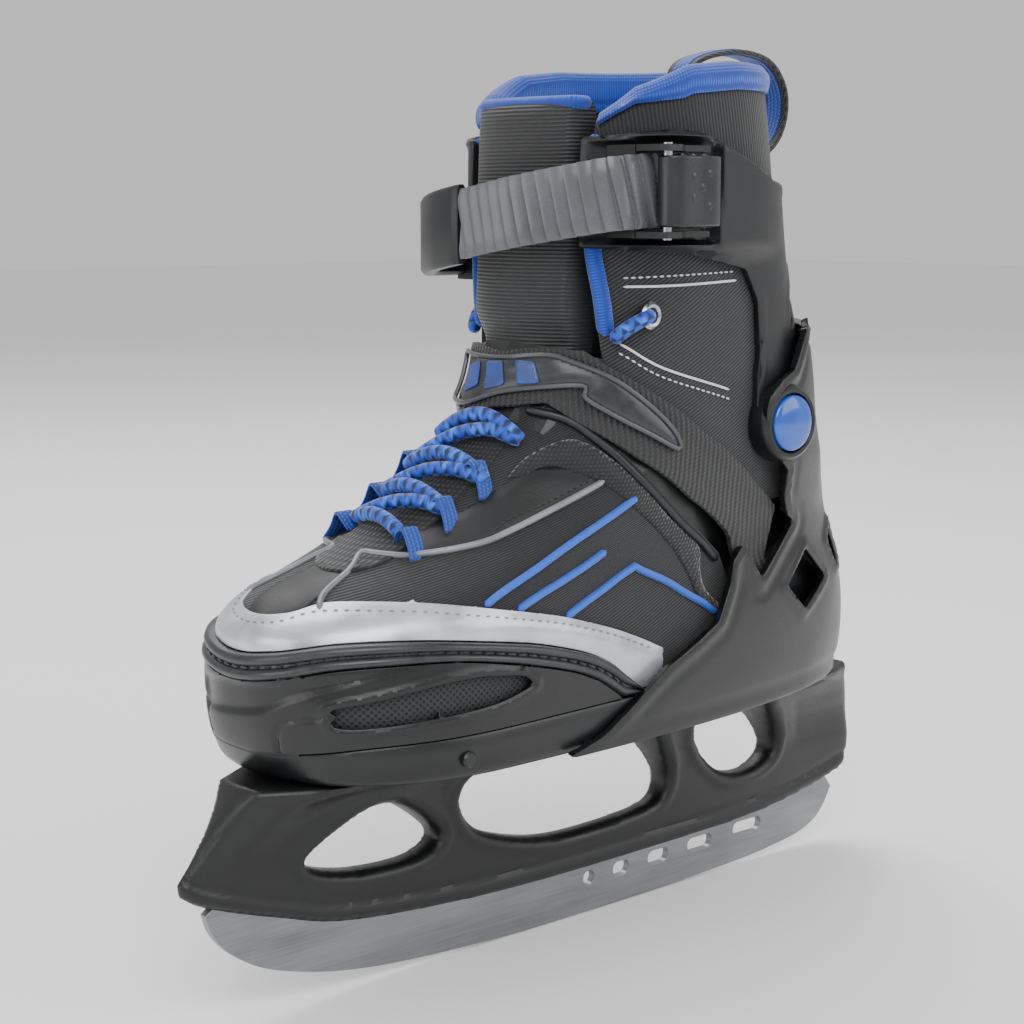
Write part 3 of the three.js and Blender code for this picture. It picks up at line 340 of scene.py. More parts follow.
# keeps the part of a sheet where the values at its vertices are above zero, with a clean edge along it
def trim(bm, values, sliver=0.45):
    value = {v: (0.0 if abs(f) < 1e-4 else float(f)) for v, f in zip(bm.verts, values)}
    edge = {v for v, f in value.items() if f == 0}
    for e in list(bm.edges):
        a, b = e.verts
        if value[a] * value[b] < 0:
            _, made = bmesh.utils.edge_split(e, a, value[a] / (value[a] - value[b]))
            value[made] = 0.0
            edge.add(made)
    bmesh.ops.connect_verts(bm, verts=list(edge))
    outside = [f for f in bm.faces if sum(value.get(v, 0) for v in f.verts) < 0]
    bmesh.ops.delete(bm, geom=outside, context="FACES")
    edge = {v for v in edge if v.is_valid}
    joined = {}
    for v in edge:
        for e in v.link_edges:
            other = e.other_vert(v)
            if other not in edge and other not in joined and e.calc_length() < sliver * mm:
                joined[other] = v
    if joined:
        bmesh.ops.weld_verts(bm, targetmap=joined)
    bmesh.ops.dissolve_degenerate(bm, dist=1e-6, edges=bm.edges)
    bm.normal_update()
    return bm


# a closed skin through rings of points, with its own map; each ring has the same number of points
def sweep(rings, closeRing=True, capEnds=True, pitch=1.0):
    rings = np.asarray(rings, float)
    rows, around = rings.shape[:2]
    columns = around if closeRing else around - 1
    bm = bmesh.new()
    bmesh.ops.create_grid(bm, x_segments=columns, y_segments=rows - 1, size=0.5)
    bm.verts.ensure_lookup_table()
    u, v = gridPlaces(bm)
    column, row = np.rint(u * columns).astype(int), np.rint(v * (rows - 1)).astype(int)
    first = rings[0]
    span = np.concatenate([[0], np.cumsum(np.linalg.norm(np.diff(np.vstack([first, first[:1]]), axis=0),
                                                         axis=1))])
    middles = rings.mean(axis=1)
    run = np.concatenate([[0], np.cumsum(np.linalg.norm(np.diff(middles, axis=0), axis=1))])
    layerMap(bm, span[column] * mm, run[row] * mm * pitch)
    setPlaces(bm, rings[row, column % around])
    if closeRing:
        bmesh.ops.remove_doubles(bm, verts=bm.verts, dist=1e-7)
        if capEnds:
            bmesh.ops.holes_fill(bm, edges=[e for e in bm.edges if e.is_boundary], sides=0)
            bmesh.ops.recalc_face_normals(bm, faces=bm.faces)
    return bm


# directions along, across and out of a line, kept from twisting
def framesAlong(line, up=(0, 0, 1)):
    line = np.asarray(line, float)
    along = np.gradient(line, axis=0)
    along /= np.linalg.norm(along, axis=1)[:, None]
    across = np.empty_like(along)
    hint = np.array(up, float)
    for i, t in enumerate(along):
        side = np.cross(hint, t)
        if np.linalg.norm(side) < 1e-6:
            side = np.cross([1, 0, 0], t)
        across[i] = side / np.linalg.norm(side)
        hint = np.cross(t, across[i])
    return along, across, np.cross(along, across)


# a round tube along a line, its ends rounded off
def tube(line, radius, sides=10, step=1.5, roundEnds=True):
    line = evenly(line, step)
    _, across, out = framesAlong(line)
    run = np.linspace(0, np.linalg.norm(np.diff(line, axis=0), axis=1).sum(), len(line))
    ends = np.minimum(run, run[-1] - run)
    size = np.full(len(line), float(radius))
    if roundEnds:
        size *= np.sqrt(np.clip(1 - (1 - np.clip(ends / radius, 0.04, 1)) ** 2, 0.01, 1))
    turn = np.linspace(0, 2 * math.pi, sides, endpoint=False)
    rings = [p + r * (np.cos(turn)[:, None] * a + np.sin(turn)[:, None] * o)
             for p, r, a, o in zip(line, size, across, out)]
    return sweep(rings)


# a turned piece: its profile is (radius, distance along the axis)
def turned(profile, at, axis, steps=40):
    bm = bmesh.new()
    verts = [bm.verts.new((r * mm, 0, d * mm)) for r, d in profile]
    edges = [bm.edges.new(pair) for pair in zip(verts, verts[1:])]
    bmesh.ops.spin(bm, geom=verts + edges, cent=(0, 0, 0), axis=(0, 0, 1), angle=2 * math.pi, steps=steps,
                   use_merge=True)
    bmesh.ops.remove_doubles(bm, verts=bm.verts, dist=1e-7)
    turn = Vector((0, 0, 1)).rotation_difference(Vector(axis)).to_matrix().to_4x4()
    bmesh.ops.transform(bm, matrix=Matrix.Translation(Vector(at) * mm) @ turn, verts=bm.verts)
    bmesh.ops.recalc_face_normals(bm, faces=bm.faces)
    return bm


# one object from a mesh in the making: its material, the body it moves with and what it stands for
def newPiece(name, bm, material, body, replaces=(), wall=0.0, side=-1.0, bevel=0.0, levels=0,
             blend=None, sharp=40):
    mesh = bpy.data.meshes.new(name)
    bm.to_mesh(mesh)
    bm.free()
    mesh.materials.append(material)
    mesh.shade_smooth()
    if not wall and sharp:
        mesh.set_sharp_from_angle(angle=math.radians(sharp))
    piece = bpy.data.objects.new(name, mesh)
    bpy.context.scene.collection.objects.link(piece)
    if wall:
        shell = piece.modifiers.new("wall", "SOLIDIFY")
        shell.thickness, shell.offset = wall * mm, side
        shell.use_quality_normals = True
    if bevel:
        edge = piece.modifiers.new("edges", "BEVEL")
        edge.width, edge.segments, edge.profile = bevel * mm, 2, 0.5
        edge.limit_method, edge.angle_limit = "ANGLE", math.radians(50)
        edge.use_clamp_overlap = False
        edge.harden_normals = True
    if levels:
        smooth = piece.modifiers.new("smooth", "SUBSURF")
        smooth.levels = smooth.render_levels = levels
    if blend:
        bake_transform(piece)
    else:
        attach(piece, body)
    if replaces:
        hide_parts(*replaces)
    return piece


# materials

# sRGB hex to the linear colour that shaders use
def linear(hexColour):
    parts = [int(hexColour[i:i + 2], 16) / 255 for i in (0, 2, 4)]
    return [p / 12.92 if p <= 0.04045 else ((p + 0.055) / 1.055) ** 2.4 for p in parts] + [1.0]


# adds a node with its settings and its links
def addNode(tree, kind, inputs=None, **settings):
    made = tree.nodes.new(kind)
    for key, value in settings.items():
        setattr(made, key, value)
    for key, value in (inputs or {}).items():
        if isinstance(value, bpy.types.NodeSocket):
            tree.links.new(value, made.inputs[key])
        else:
            made.inputs[key].default_value = value
    return made


def newMaterial(name, **sockets):
    material = bpy.data.materials.new(name)
    material.use_nodes = True
    tree = material.node_tree
    shader = tree.nodes["Principled BSDF"]
    for key, value in sockets.items():
        shader.inputs[key.replace("_", " ")].default_value = value
    return material, tree, shader


waveCycle = 2 * math.pi / 20    # a wave texture of scale 1 repeats at this length


# a vector in millimetres: the piece's own map, or the place in the object, turned and stretched
def inMillimetres(tree, surface=True, turn=0.0, stretch=(1, 1, 1)):
    if surface:
        source = addNode(tree, "ShaderNodeUVMap", uv_map="weave").outputs["UV"]
    else:
        source = addNode(tree, "ShaderNodeTexCoord").outputs["Object"]
    turned = addNode(tree, "ShaderNodeMapping", {
        "Vector": source, "Rotation": (0, 0, math.radians(turn)), "Scale": (1000, 1000, 1000)})
    if stretch == (1, 1, 1):
        return turned.outputs["Vector"]
    return addNode(tree, "ShaderNodeMapping", {
        "Vector": turned.outputs["Vector"], "Scale": stretch}).outputs["Vector"]


def noiseOf(tree, vector, size, detail=2.0, roughness=0.5):
    return addNode(tree, "ShaderNodeTexNoise", {
        "Vector": vector, "Scale": 1 / size, "Detail": detail, "Roughness": roughness}).outputs["Fac"]


def ribsOf(tree, vector, pitch, waver=0.0, profile="SIN"):
    return addNode(tree, "ShaderNodeTexWave", {
        "Vector": vector, "Scale": waveCycle / pitch, "Distortion": waver, "Detail": 1.0,
            "Detail Scale": 1.5},
        wave_type="BANDS", bands_direction="X", wave_profile=profile).outputs["Fac"]


def mixOf(tree, share, first, second):
    return addNode(tree, "ShaderNodeMix", {0: share, 6: first, 7: second}, data_type="RGBA").outputs[2]


def sumOf(tree, first, second, kind="ADD"):
    return addNode(tree, "ShaderNodeMath", {0: first, 1: second}, operation=kind).outputs[0]


def rangeOf(tree, value, low, high, toLow=0.0, toHigh=1.0):
    return addNode(tree, "ShaderNodeMapRange", {
        "Value": value, "From Min": low, "From Max": high, "To Min": toLow,
            "To Max": toHigh}).outputs["Result"]


def raised(tree, shader, height, depth, strength=1.0):
    made = addNode(tree, "ShaderNodeBump", {"Height": height, "Distance": depth * mm, "Strength": strength})
    tree.links.new(made.outputs["Normal"], shader.inputs["Normal"])
    return made


# polypropylene from a spark-eroded mould: dark, matte, with a fine even grain and soft highlights
def mouldedPlastic(name, colour, roughness=0.5, grain=0.55, depth=0.035, tone=0.25):
    material, tree, shader = newMaterial(name, Roughness=roughness, IOR=1.49)
    place = inMillimetres(tree, surface=False)
    fine = noiseOf(tree, place, grain, 3)
    broad = noiseOf(tree, place, 22, 2)
    deep = [c * (1 - tone) for c in linear(colour)[:3]] + [1]
    pale = [c * (1 + tone) for c in linear(colour)[:3]] + [1]
    tree.links.new(mixOf(tree, rangeOf(tree, broad, 0.35, 0.65), deep, pale), shader.inputs["Base Color"])
    rough = rangeOf(tree, sumOf(tree, fine, broad), 0.7, 1.3, roughness - 0.07, roughness + 0.09)
    tree.links.new(rough, shader.inputs["Roughness"])
    raised(tree, shader, fine, depth)
    return material


# stainless strip, ground along its length: fine lines along the runner stretch the highlights
def groundStainless():
    material, tree, shader = newMaterial("groundStainless", Metallic=1.0, Roughness=0.34)
    lines = noiseOf(tree, inMillimetres(tree, surface=False, stretch=(0.02, 1, 3.2)), 0.45, 4, 0.65)
    smears = noiseOf(tree, inMillimetres(tree, surface=False, stretch=(0.25, 1, 1)), 14, 3)
    tree.links.new(mixOf(tree, rangeOf(tree, sumOf(tree, lines, smears), 0.75, 1.25), linear("77797d"),
                         linear("9c9da0")), shader.inputs["Base Color"])
    tree.links.new(rangeOf(tree, lines, 0.3, 0.7, 0.26, 0.46), shader.inputs["Roughness"])
    raised(tree, shader, lines, 0.02, 0.6)
    return material


# zinc plated steel: bright with a faint mottle
def zincPlate(name="zincPlate", colour="c3c5c8", roughness=0.28):
    material, tree, shader = newMaterial(name, Metallic=1.0, Roughness=roughness)
    mottle = noiseOf(tree, inMillimetres(tree, surface=False), 1.6, 3)
    tree.links.new(mixOf(tree, mottle, linear(colour), linear("8f9196")), shader.inputs["Base Color"])
    tree.links.new(rangeOf(tree, mottle, 0.3, 0.7, roughness - 0.08, roughness + 0.12),
                   shader.inputs["Roughness"])
    return material


# polyester twill of mixed dark and grey yarns: fine diagonal ribs with light flecks
def melangeTwill(name, dark, light, turn=58, rib=1.15, flecks=0.5):
    material, tree, shader = newMaterial(name, Roughness=0.82, Sheen_Weight=0.18, Sheen_Roughness=0.5)
    along = inMillimetres(tree, turn=turn)
    ribs = ribsOf(tree, along, rib, 0.6)
    yarn = noiseOf(tree, inMillimetres(tree, turn=turn, stretch=(2.6, 0.55, 1)), 0.9, 3, 0.6)
    cloud = noiseOf(tree, inMillimetres(tree), 16, 2)
    fleck = rangeOf(tree, sumOf(tree, sumOf(tree, yarn, ribs, "MULTIPLY"), sumOf(tree, cloud, 0.16,
        "MULTIPLY")),
                    0.16, 0.62 + 0.2 * (1 - flecks))
    tree.links.new(mixOf(tree, fleck, linear(dark), linear(light)), shader.inputs["Base Color"])
    raised(tree, shader, sumOf(tree, ribs, sumOf(tree, yarn, 0.5, "MULTIPLY")), 0.16)
    return material


# satin ribbed knit: narrow raised ribs across the tongue catch the light in rows
def ribbedSatin():
    material, tree, shader = newMaterial("ribbedSatin", Roughness=0.52, Sheen_Weight=0.12)
    across = inMillimetres(tree, turn=90)
    ribs = ribsOf(tree, across, 1.25, 0.5)
    broken = noiseOf(tree, inMillimetres(tree, stretch=(0.28, 1.4, 1)), 0.8, 2)
    lit = rangeOf(tree, sumOf(tree, ribs, broken, "MULTIPLY"), 0.18, 0.6)
    tree.links.new(mixOf(tree, lit, linear("0b0c0e"), linear("26272a")), shader.inputs["Base Color"])
    tree.links.new(rangeOf(tree, ribs, 0.0, 1.0, 0.7, 0.42), shader.inputs["Roughness"])
    raised(tree, shader, ribs, 0.2)
    return material


# loop-pile lining with a metallic thread: near black, with scattered bright specks
def tinselLining():
    material, tree, shader = newMaterial("tinselLining", Roughness=0.75, Sheen_Weight=0.25)
    place = inMillimetres(tree)
    cells = addNode(tree, "ShaderNodeTexVoronoi", {"Vector": place, "Scale": 1 / 0.75})
    speck = addNode(tree, "ShaderNodeSeparateColor", {"Color": cells.outputs["Color"]}).outputs["Red"]
    bright = rangeOf(tree, speck, 0.90, 0.97)
    tree.links.new(mixOf(tree, bright, linear("0d0e11"), linear("4b4e55")), shader.inputs["Base Color"])
    tree.links.new(rangeOf(tree, bright, 0, 1, 0.8, 0.3), shader.inputs["Roughness"])
    raised(tree, shader, cells.outputs["Distance"], 0.2)
    return material


# nylon webbing: steep ribs side by side, each a row of short diagonal floats
def ribbedWebbing(name, dark, light, rib=2.1, turn=0, overlap=1.3):
    material, tree, shader = newMaterial(name, Roughness=0.6, Sheen_Weight=0.15)
    ribs = ribsOf(tree, inMillimetres(tree, turn=turn), rib, 0.25)
    floats = ribsOf(tree, inMillimetres(tree, turn=turn + 62), overlap, 0.2)
    fuzz = noiseOf(tree, inMillimetres(tree), 0.5, 2)
    both = sumOf(tree, ribs, rangeOf(tree, floats, 0.0, 1.0, 0.45, 1.0), "MULTIPLY")
    tree.links.new(mixOf(tree, rangeOf(tree, sumOf(tree, both, fuzz, "MULTIPLY"), 0.1, 0.55), linear(dark),
                         linear(light)),
                   shader.inputs["Base Color"])
    raised(tree, shader, both, 0.35)
    return material


# sixteen-strand polyester braid: strands cross at a slant, some of them a lighter or darker blue
def braidedCord(name, base="0d45b8", pale="2f74e0", deep="0a3aa0", strand=2.3):
    material, tree, shader = newMaterial(name, Roughness=0.62, Sheen_Weight=0.3, Sheen_Roughness=0.4)
    left = ribsOf(tree, inMillimetres(tree, turn=32), strand, 0.15)
    right = ribsOf(tree, inMillimetres(tree, turn=-32), strand, 0.15)
    over = sumOf(tree, left, right, "MAXIMUM")
    fleck = noiseOf(tree, inMillimetres(tree, turn=32, stretch=(1, 0.5, 1)), 1.5, 1)
    body = mixOf(tree, rangeOf(tree, fleck, 0.5, 0.64), linear(base), linear(pale))
    spotted = mixOf(tree, rangeOf(tree, fleck, 0.36, 0.3), body, linear(deep))
    shadow = mixOf(tree, rangeOf(tree, over, 0.35, 0.8), linear("06204f"), spotted)
    tree.links.new(shadow, shader.inputs["Base Color"])
    raised(tree, shader, over, 0.45)
    return material


# brushed knit binding: soft loops in rows, with a strong sheen
def knitBinding(name, dark, light, loop=1.3):
    material, tree, shader = newMaterial(name, Roughness=0.8, Sheen_Weight=0.35, Sheen_Roughness=0.45)
    rows = ribsOf(tree, inMillimetres(tree), loop, 0.8)
    columns = ribsOf(tree, inMillimetres(tree, turn=90), loop * 0.75, 0.8)
    loops = sumOf(tree, rows, columns, "MULTIPLY")
    cloud = noiseOf(tree, inMillimetres(tree), 7, 2)
    share = rangeOf(tree, sumOf(tree, loops, sumOf(tree, cloud, 0.4, "MULTIPLY")), 0.1, 0.95)
    tree.links.new(mixOf(tree, share, linear(dark), linear(light)), shader.inputs["Base Color"])
    raised(tree, shader, loops, 0.22)
    return material


# polyurethane-coated leather: a tight pebble under a satin film
def coatedLeather(name, colour, roughness=0.42, metallic=0.0, pebble=0.9, depth=0.05, second=None):
    material, tree, shader = newMaterial(name, Roughness=roughness, Metallic=metallic)
    place = inMillimetres(tree, surface=False)
    cells = addNode(tree, "ShaderNodeTexVoronoi", {"Vector": place, "Scale": 1 / pebble}, feature="SMOOTH_F1")
    cloud = noiseOf(tree, place, 18, 2)
    tree.links.new(mixOf(tree, rangeOf(tree, cloud, 0.35, 0.65), linear(colour), linear(second or colour)),
                   shader.inputs["Base Color"])
    tree.links.new(rangeOf(tree, cloud, 0.3, 0.7, roughness - 0.06, roughness + 0.08),
                   shader.inputs["Roughness"])
    raised(tree, shader, cells.outputs["Distance"], depth)
    return material


# moulded synthetic rubber, satin
def softRubber(name, colour, roughness=0.38):
    material, tree, shader = newMaterial(name, Roughness=roughness, IOR=1.52)
    place = inMillimetres(tree, surface=False)
    film = noiseOf(tree, place, 6, 2)
    tree.links.new(rangeOf(tree, film, 0.3, 0.7, roughness - 0.07, roughness + 0.1),
                   shader.inputs["Roughness"])
    tree.links.new(mixOf(tree, film, linear(colour), linear("34363a")), shader.inputs["Base Color"])
    raised(tree, shader, noiseOf(tree, place, 0.4, 2), 0.015)
    return material


# ABS cap, sprayed with a glossy blue lacquer
def glossLacquer():
    material, tree, shader = newMaterial("glossLacquer", Roughness=0.2, Coat_Weight=0.6, Coat_Roughness=0.08)
    haze = noiseOf(tree, inMillimetres(tree, surface=False), 7, 1)
    tree.links.new(mixOf(tree, haze, linear("0c3c9c"), linear("1a58c0")), shader.inputs["Base Color"])
    return material


# woven vent cloth: round holes in a fine net, drawn as the depth of each hole, with painted shade making each
# hole near black
def ventNet():
    material, tree, shader = newMaterial("ventNet", Roughness=0.7)
    holes = sumOf(tree, ribsOf(tree, inMillimetres(tree, turn=45), 1.5), ribsOf(tree, inMillimetres(tree,
        turn=-45), 1.5),
                  "MULTIPLY")
    # painted shade: the holes are coloured near black for the shade inside them, the net itself dark grey
    tree.links.new(mixOf(tree, rangeOf(tree, holes, 0.25, 0.5), linear("26282b"), linear("050506")),
                   shader.inputs["Base Color"])
    raised(tree, shader, rangeOf(tree, holes, 0.25, 0.5, 1, 0), 0.4)
    return material


# sewing thread: twisted, slightly shiny
def sewingThread(name, colour):
    material, tree, shader = newMaterial(name, Roughness=0.55, Sheen_Weight=0.2)
    twist = noiseOf(tree, inMillimetres(tree, surface=False), 0.5, 1)
    deep = [c * 0.7 for c in linear(colour)[:3]] + [1]
    tree.links.new(mixOf(tree, twist, deep, linear(colour)), shader.inputs["Base Color"])
    raised(tree, shader, twist, 0.05)
    return material


def paleFloor():
    material, tree, shader = newMaterial("paleFloor", Roughness=0.75)
    tree.links.new(mixOf(tree, noiseOf(tree, inMillimetres(tree, surface=False), 300, 2), linear("f3f3f2"),
                         linear("f8f8f8")), shader.inputs["Base Color"])
    return material


looks = {
    "holder": mouldedPlastic("nylonHolder", "0d0e10", 0.4, 0.8, 0.03),
    "shell": mouldedPlastic("polypropyleneShell", "0f1012", 0.33),
    "cuff": mouldedPlastic("polypropyleneCuff", "121316", 0.42),
    "lever": mouldedPlastic("acetalLever", "1b1c1f", 0.3, 0.9, 0.012),
    "ladder": mouldedPlastic("acetalLadder", "54565a", 0.24, 1.2, 0.008, 0.12),
    "steel": groundStainless(),
    "zinc": zincPlate(),
    "darkZinc": zincPlate("blackZinc", "55575c", 0.3),
    "twill": melangeTwill("melangeTwill", "060708", "3c3e42"),
    "vampTwill": melangeTwill("vampTwill", "050607", "2b2d31", turn=64, rib=1.0),
    "collarTwill": melangeTwill("collarTwill", "060708", "2a2c30", turn=80, rib=1.3, flecks=0.3),
    "tongue": ribbedSatin(),
    "lining": tinselLining(),
    "webbing": ribbedWebbing("blackWebbing", "050506", "2e3033", turn=-20),
    "loopWebbing": ribbedWebbing("bootWebbing", "08090b", "2d2f33", 1.2, 20, 0.9),
    "blueWebbing": ribbedWebbing("blueWebbing", "0a338a", "1f62cc", 1.6, 0, 1.2),
    "lace": braidedCord("braidedLace"),
    "blueKnit": knitBinding("blueKnit", "052a84", "0f4fc2"),
    "blackKnit": knitBinding("blackKnit", "060708", "26282b", 1.7),
    "leather": coatedLeather("blackLeather", "0a0b0d", 0.5, second="101114"),
    "silver": coatedLeather("pearlLeather", "aeb2b8", 0.3, 0.55, 1.1, 0.02, second="d5d8dc"),
    "piping": coatedLeather("reflectivePiping", "8b8e92", 0.35, 0.3, 0.7, 0.03, second="6e7175"),
    "darkPiping": coatedLeather("darkPiping", "121316", 0.4, 0, 0.7, 0.04),
    "welt": softRubber("weltRubber", "131417", 0.3),
    "badge": softRubber("badgeRubber", "121316", 0.3),
    "badgeBlue": softRubber("badgeBlue", "124aa8", 0.36),
    "badgeRim": softRubber("badgeRim", "4c4f53", 0.3),
    "cap": glossLacquer(),
    "net": ventNet(),
    "whiteThread": sewingThread("whiteThread", "dfe1e4"),
    "blackThread": sewingThread("blackThread", "16171a"),
    "blueThread": sewingThread("blueThread", "1c5cd6"),
    "greyThread": sewingThread("greyThread", "8f9297"),
}
print("materials ready")


# where things are: from the frame, in millimetres

def cadBox(name):
    return [np.array(corner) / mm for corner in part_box(name)]


bothSides = ((outer, "outer"), (inner, "inner"))
joints = {j["name"]: j for j in frame["joints"]}
pivot = np.array(joints["cuff_flex"]["pos_m"]) / mm
shellOut = 3.4    # outside of the moulded layer over the fabric
fold = math.radians(25.9)       # a line from the pivots up to the shin, along which the fabric folds; the pieces given it are only baked in place, nothing folds them
foldMiddle = pivot + 60 * np.array([-math.cos(fold), 0, math.sin(fold)])
foldUp = np.array([math.sin(fold), 0, math.cos(fold)])
acrossFold = [tuple((foldMiddle + foldUp * reach) * mm) for reach in (-9, 9)]


# the heel shell stands off further where the cuff tilts inside it
def cradleIn(z):
    return 3.8 + 1.4 * np.clip((z - 140) / 20, 0, 1)


# a height by the distance round from the middle of the toe, smooth there and alike on both sides
def lineHeight(line):
    line = np.array(sorted(line.tolist()))
    line = lineThrough(np.vstack([mirrored(line[1:])[::-1], line]), 8)
    line = line[line[:, 0] >= 0]
    return lambda share, z=110: np.interp(np.abs(roundFromToe(share, z)), line[:, 0], line[:, 1])


# Heights round the toe, as (x, z) on the outer side; the first place of each is the middle of the toe.
toeLines = {
    "rim": [(-138.4, 84.4), (-133.6, 85, -13), (-113, 88), (-86, 89), (-64, 89.4), (-37, 89.8), (30, 90.5)],
    "weltLow": [(-138.4, 106), (-136.5, 108, -10.8), (-120, 112), (-96, 112.8), (-76, 110.3), (-52, 104.5),
                (-38.5, 99.8), (-26.7, 93), (30, 60)],
    "weltHigh": [(-138.4, 114.3), (-135.3, 116, -9.3), (-118.5, 119.3), (-95.3, 119), (-65, 114.5), (-44,
        109),
                 (-32, 104), (-22.8, 97.5), (30, 64)],
    "silverHigh": [(-134, 125), (-130, 126.3, -6), (-113.8, 129.6), (-97.4, 129.8), (-81.5, 128), (-61,
        123.5),
                   (-42, 118), (-15.5, 107), (30, 84)],
}
toeHeights = {}
for name, line in toeLines.items():
    made = developed(line)
    made[0, 0] = 0
    toeHeights[name] = lineHeight(made)


# blade and holder

blade = {
    "thickness": 3,
    "running": [(137, 20), (133, 13.6), (127, 8.4), (117, 4.8), (100, 2.6), (84, 1.4), (55, 0.45), (22, 0),
                (-12, 0),
                (-46, 0.6), (-70, 1.9), (-90, 3.7), (-107, 6.4), (-120, 9.6), (-132, 13.6), (-141, 18.4),
                    (-148, 24),
                (-152.5, 30), (-154.6, 36)],
    "edge": [(-162, 43), (-155, 39), (-128, 29.5), (-100, 22), (-46, 17.5), (10, 16.7), (84, 18.1), (120,
        22.5),
             (139, 27)],
    "holes": [(5, 5.2), (21, 8), (40, 10.5), (62, 13), (88, 15.5)],
    "holeHeight": 5.2,
}
edgeLine = lineThrough(blade["edge"])


def edgeHeight(x):
    return np.interp(x, edgeLine[:, 0], edgeLine[:, 1])


# a flat plate in the side view, with holes through it
def sidePlate(outlines, lowY, highY):
    bm = bmesh.new()
    for outline in outlines:
        verts = [bm.verts.new((x * mm, lowY * mm, z * mm)) for x, z in outline]
        for pair in zip(verts, verts[1:] + verts[:1]):
            bm.edges.new(pair)
    bmesh.ops.triangle_fill(bm, use_beauty=True, use_dissolve=False, edges=bm.edges, normal=(0, -1, 0))
    made = bmesh.ops.extrude_face_region(bm, geom=bm.faces)["geom"]
    moved = [v for v in made if isinstance(v, bmesh.types.BMVert)]
    bmesh.ops.translate(bm, vec=(0, (highY - lowY) * mm, 0), verts=moved)
    bmesh.ops.recalc_face_normals(bm, faces=bm.faces)
    return bm


def makeBlade():
    running = lineThrough(blade["running"])
    top = [(x, edgeHeight(x) + 3.5) for x in np.linspace(-149, 131, 60)]
    outline = [tuple(p) for p in running] + top
    holes = []
    for x, length in blade["holes"]:
        radius = blade["holeHeight"] / 2
        z = edgeHeight(x) - 2 - radius
        turn = np.linspace(0, 2 * math.pi, 40, endpoint=False)
        holes.append([(x + math.copysign(length / 2 - radius, math.cos(t)) + radius * math.cos(t),
                       z + radius * math.sin(t)) for t in turn])
    half = blade["thickness"] / 2
    newPiece("steel_runner", sidePlate([outline] + holes, -half, half), looks["steel"], "shell", ["blade"],
             bevel=0.25, sharp=30)


holder = {
    "outline": [(-163, 47), (-162.5, 43.4), (-162.5, 43.4)] + blade["edge"][1:] + [
        (139, 27), (142.5, 30), (144, 38), (142, 51), (135, 66), (129, 74), (129, 74), (-141, 74), (-141,
            74)],
    "windows": [
        [(-120, 47), (-114, 42), (-99, 38.3), (-80, 37.3), (-69, 39.5), (-66, 44), (-75, 52.5), (-89, 60),
         (-100, 60),
         (-111, 54)],
        [(-60, 57), (-57, 65), (-46, 69.5), (-16, 70.5), (10, 69.5), (24, 65), (33, 56.5), (40, 46), (40, 38),
         (33, 33.5), (10, 31.5), (-18, 32.2), (-42, 38.5), (-54, 46)],
        [(47.5, 66), (51, 57), (60, 46.5), (71, 38.8), (84, 36.2), (95, 39), (99, 45), (94, 55), (82, 66),
         (75, 69.5),
         (52, 69.5)],
    ],
    "flare": [(10, 3.6), (30, 4.2), (44, 5.6), (54, 8.4), (62, 12.4), (68, 17.2), (74, 25.5)],
    "plan": [(-165, 2.2), (-150, 6), (-141, 11), (-126, 20), (-112, 25), (-90, 28), (100, 28), (128, 15),
             (147, 4)],
}


def holderHalf(x, z, edgeDistance, windowDistance):
    flare, plan = np.array(holder["flare"]), np.array(holder["plan"])
    low = np.interp(z, flare[:, 0], flare[:, 1])
    limit = np.interp(x, plan[:, 0], plan[:, 1])
    half = -np.logaddexp(-low * 0.9, -limit * 0.9) / 0.9
    rail = z - edgeHeight(x)
    half = half + 0.9 * bump(windowDistance, 3.4, 1.3) - 0.7 * bump(rail, 6.5, 0.9) + 0.5 * ease(rail, 6, 3)
    half = half - 1.6 * ease(windowDistance, 6, 13) * ease(z, 40, 52) * ease(74 - z, 0, 8)
    rounding = 2.4
    near = np.clip(edgeDistance / rounding, 0, 1)
    half = half - rounding * (1 - np.sqrt(1 - (1 - near) ** 2)) * ease(75.5 - z, 0, 2)
    return np.maximum(half, 0.6)


def makeHolder():
    outline = lineThrough(holder["outline"], closed=True)
    windows = [lineThrough(w, closed=True) for w in holder["windows"]]
    low, high = outline.min(axis=0) - 1, outline.max(axis=0)
    cell = 1.3
    bm = bmesh.new()
    bmesh.ops.create_grid(bm, x_segments=round((high[0] - low[0]) / cell),
                          y_segments=round((high[1] - low[1]) / cell),
                          size=0.5)
    bm.verts.ensure_lookup_table()
    u, v = gridPlaces(bm)
    flat = np.stack([low[0] + u * (high[0] + 1 - low[0]), low[1] + v * (high[1] + 0.6 - low[1])], -1)
    setPlaces(bm, np.stack([flat[:, 0], 0 * u, flat[:, 1]], -1))

    def windowField(points):
        return np.min([-insideOutline(points, w) for w in windows], axis=0)

    trim(bm, np.minimum(insideOutline(flat, outline), windowField(flat)))
    bm.verts.index_update()
    flat = np.array([(v.co.x, v.co.z) for v in bm.verts]) / mm
    window = windowField(flat)
    half = holderHalf(flat[:, 0], flat[:, 1], np.minimum(np.abs(insideOutline(flat, outline)),
                                                         np.abs(window)), window)
    for vert, h in zip(bm.verts, half):
        vert.co.y = -h * mm
    rim = [e for e in bm.edges if e.is_boundary]
    made = bmesh.ops.extrude_edge_only(bm, edges=rim)["geom"]
    for vert in made:
        if isinstance(vert, bmesh.types.BMVert):
            vert.co.y = 0
    copied = bmesh.ops.duplicate(bm, geom=bm.verts[:] + bm.edges[:] + bm.faces[:])["geom"]
    bmesh.ops.scale(bm, vec=(1, -1, 1), verts=[v for v in copied if isinstance(v, bmesh.types.BMVert)])
    bmesh.ops.remove_doubles(bm, verts=bm.verts, dist=1e-5)
    bmesh.ops.recalc_face_normals(bm, faces=bm.faces)
    newPiece("runner_holder", bm, looks["holder"], "shell", ["blade_holder"], sharp=50)


makeBlade()
makeHolder()
print("blade and holder ready")


# chassis, toe shell, welt and the silver strip round the toe

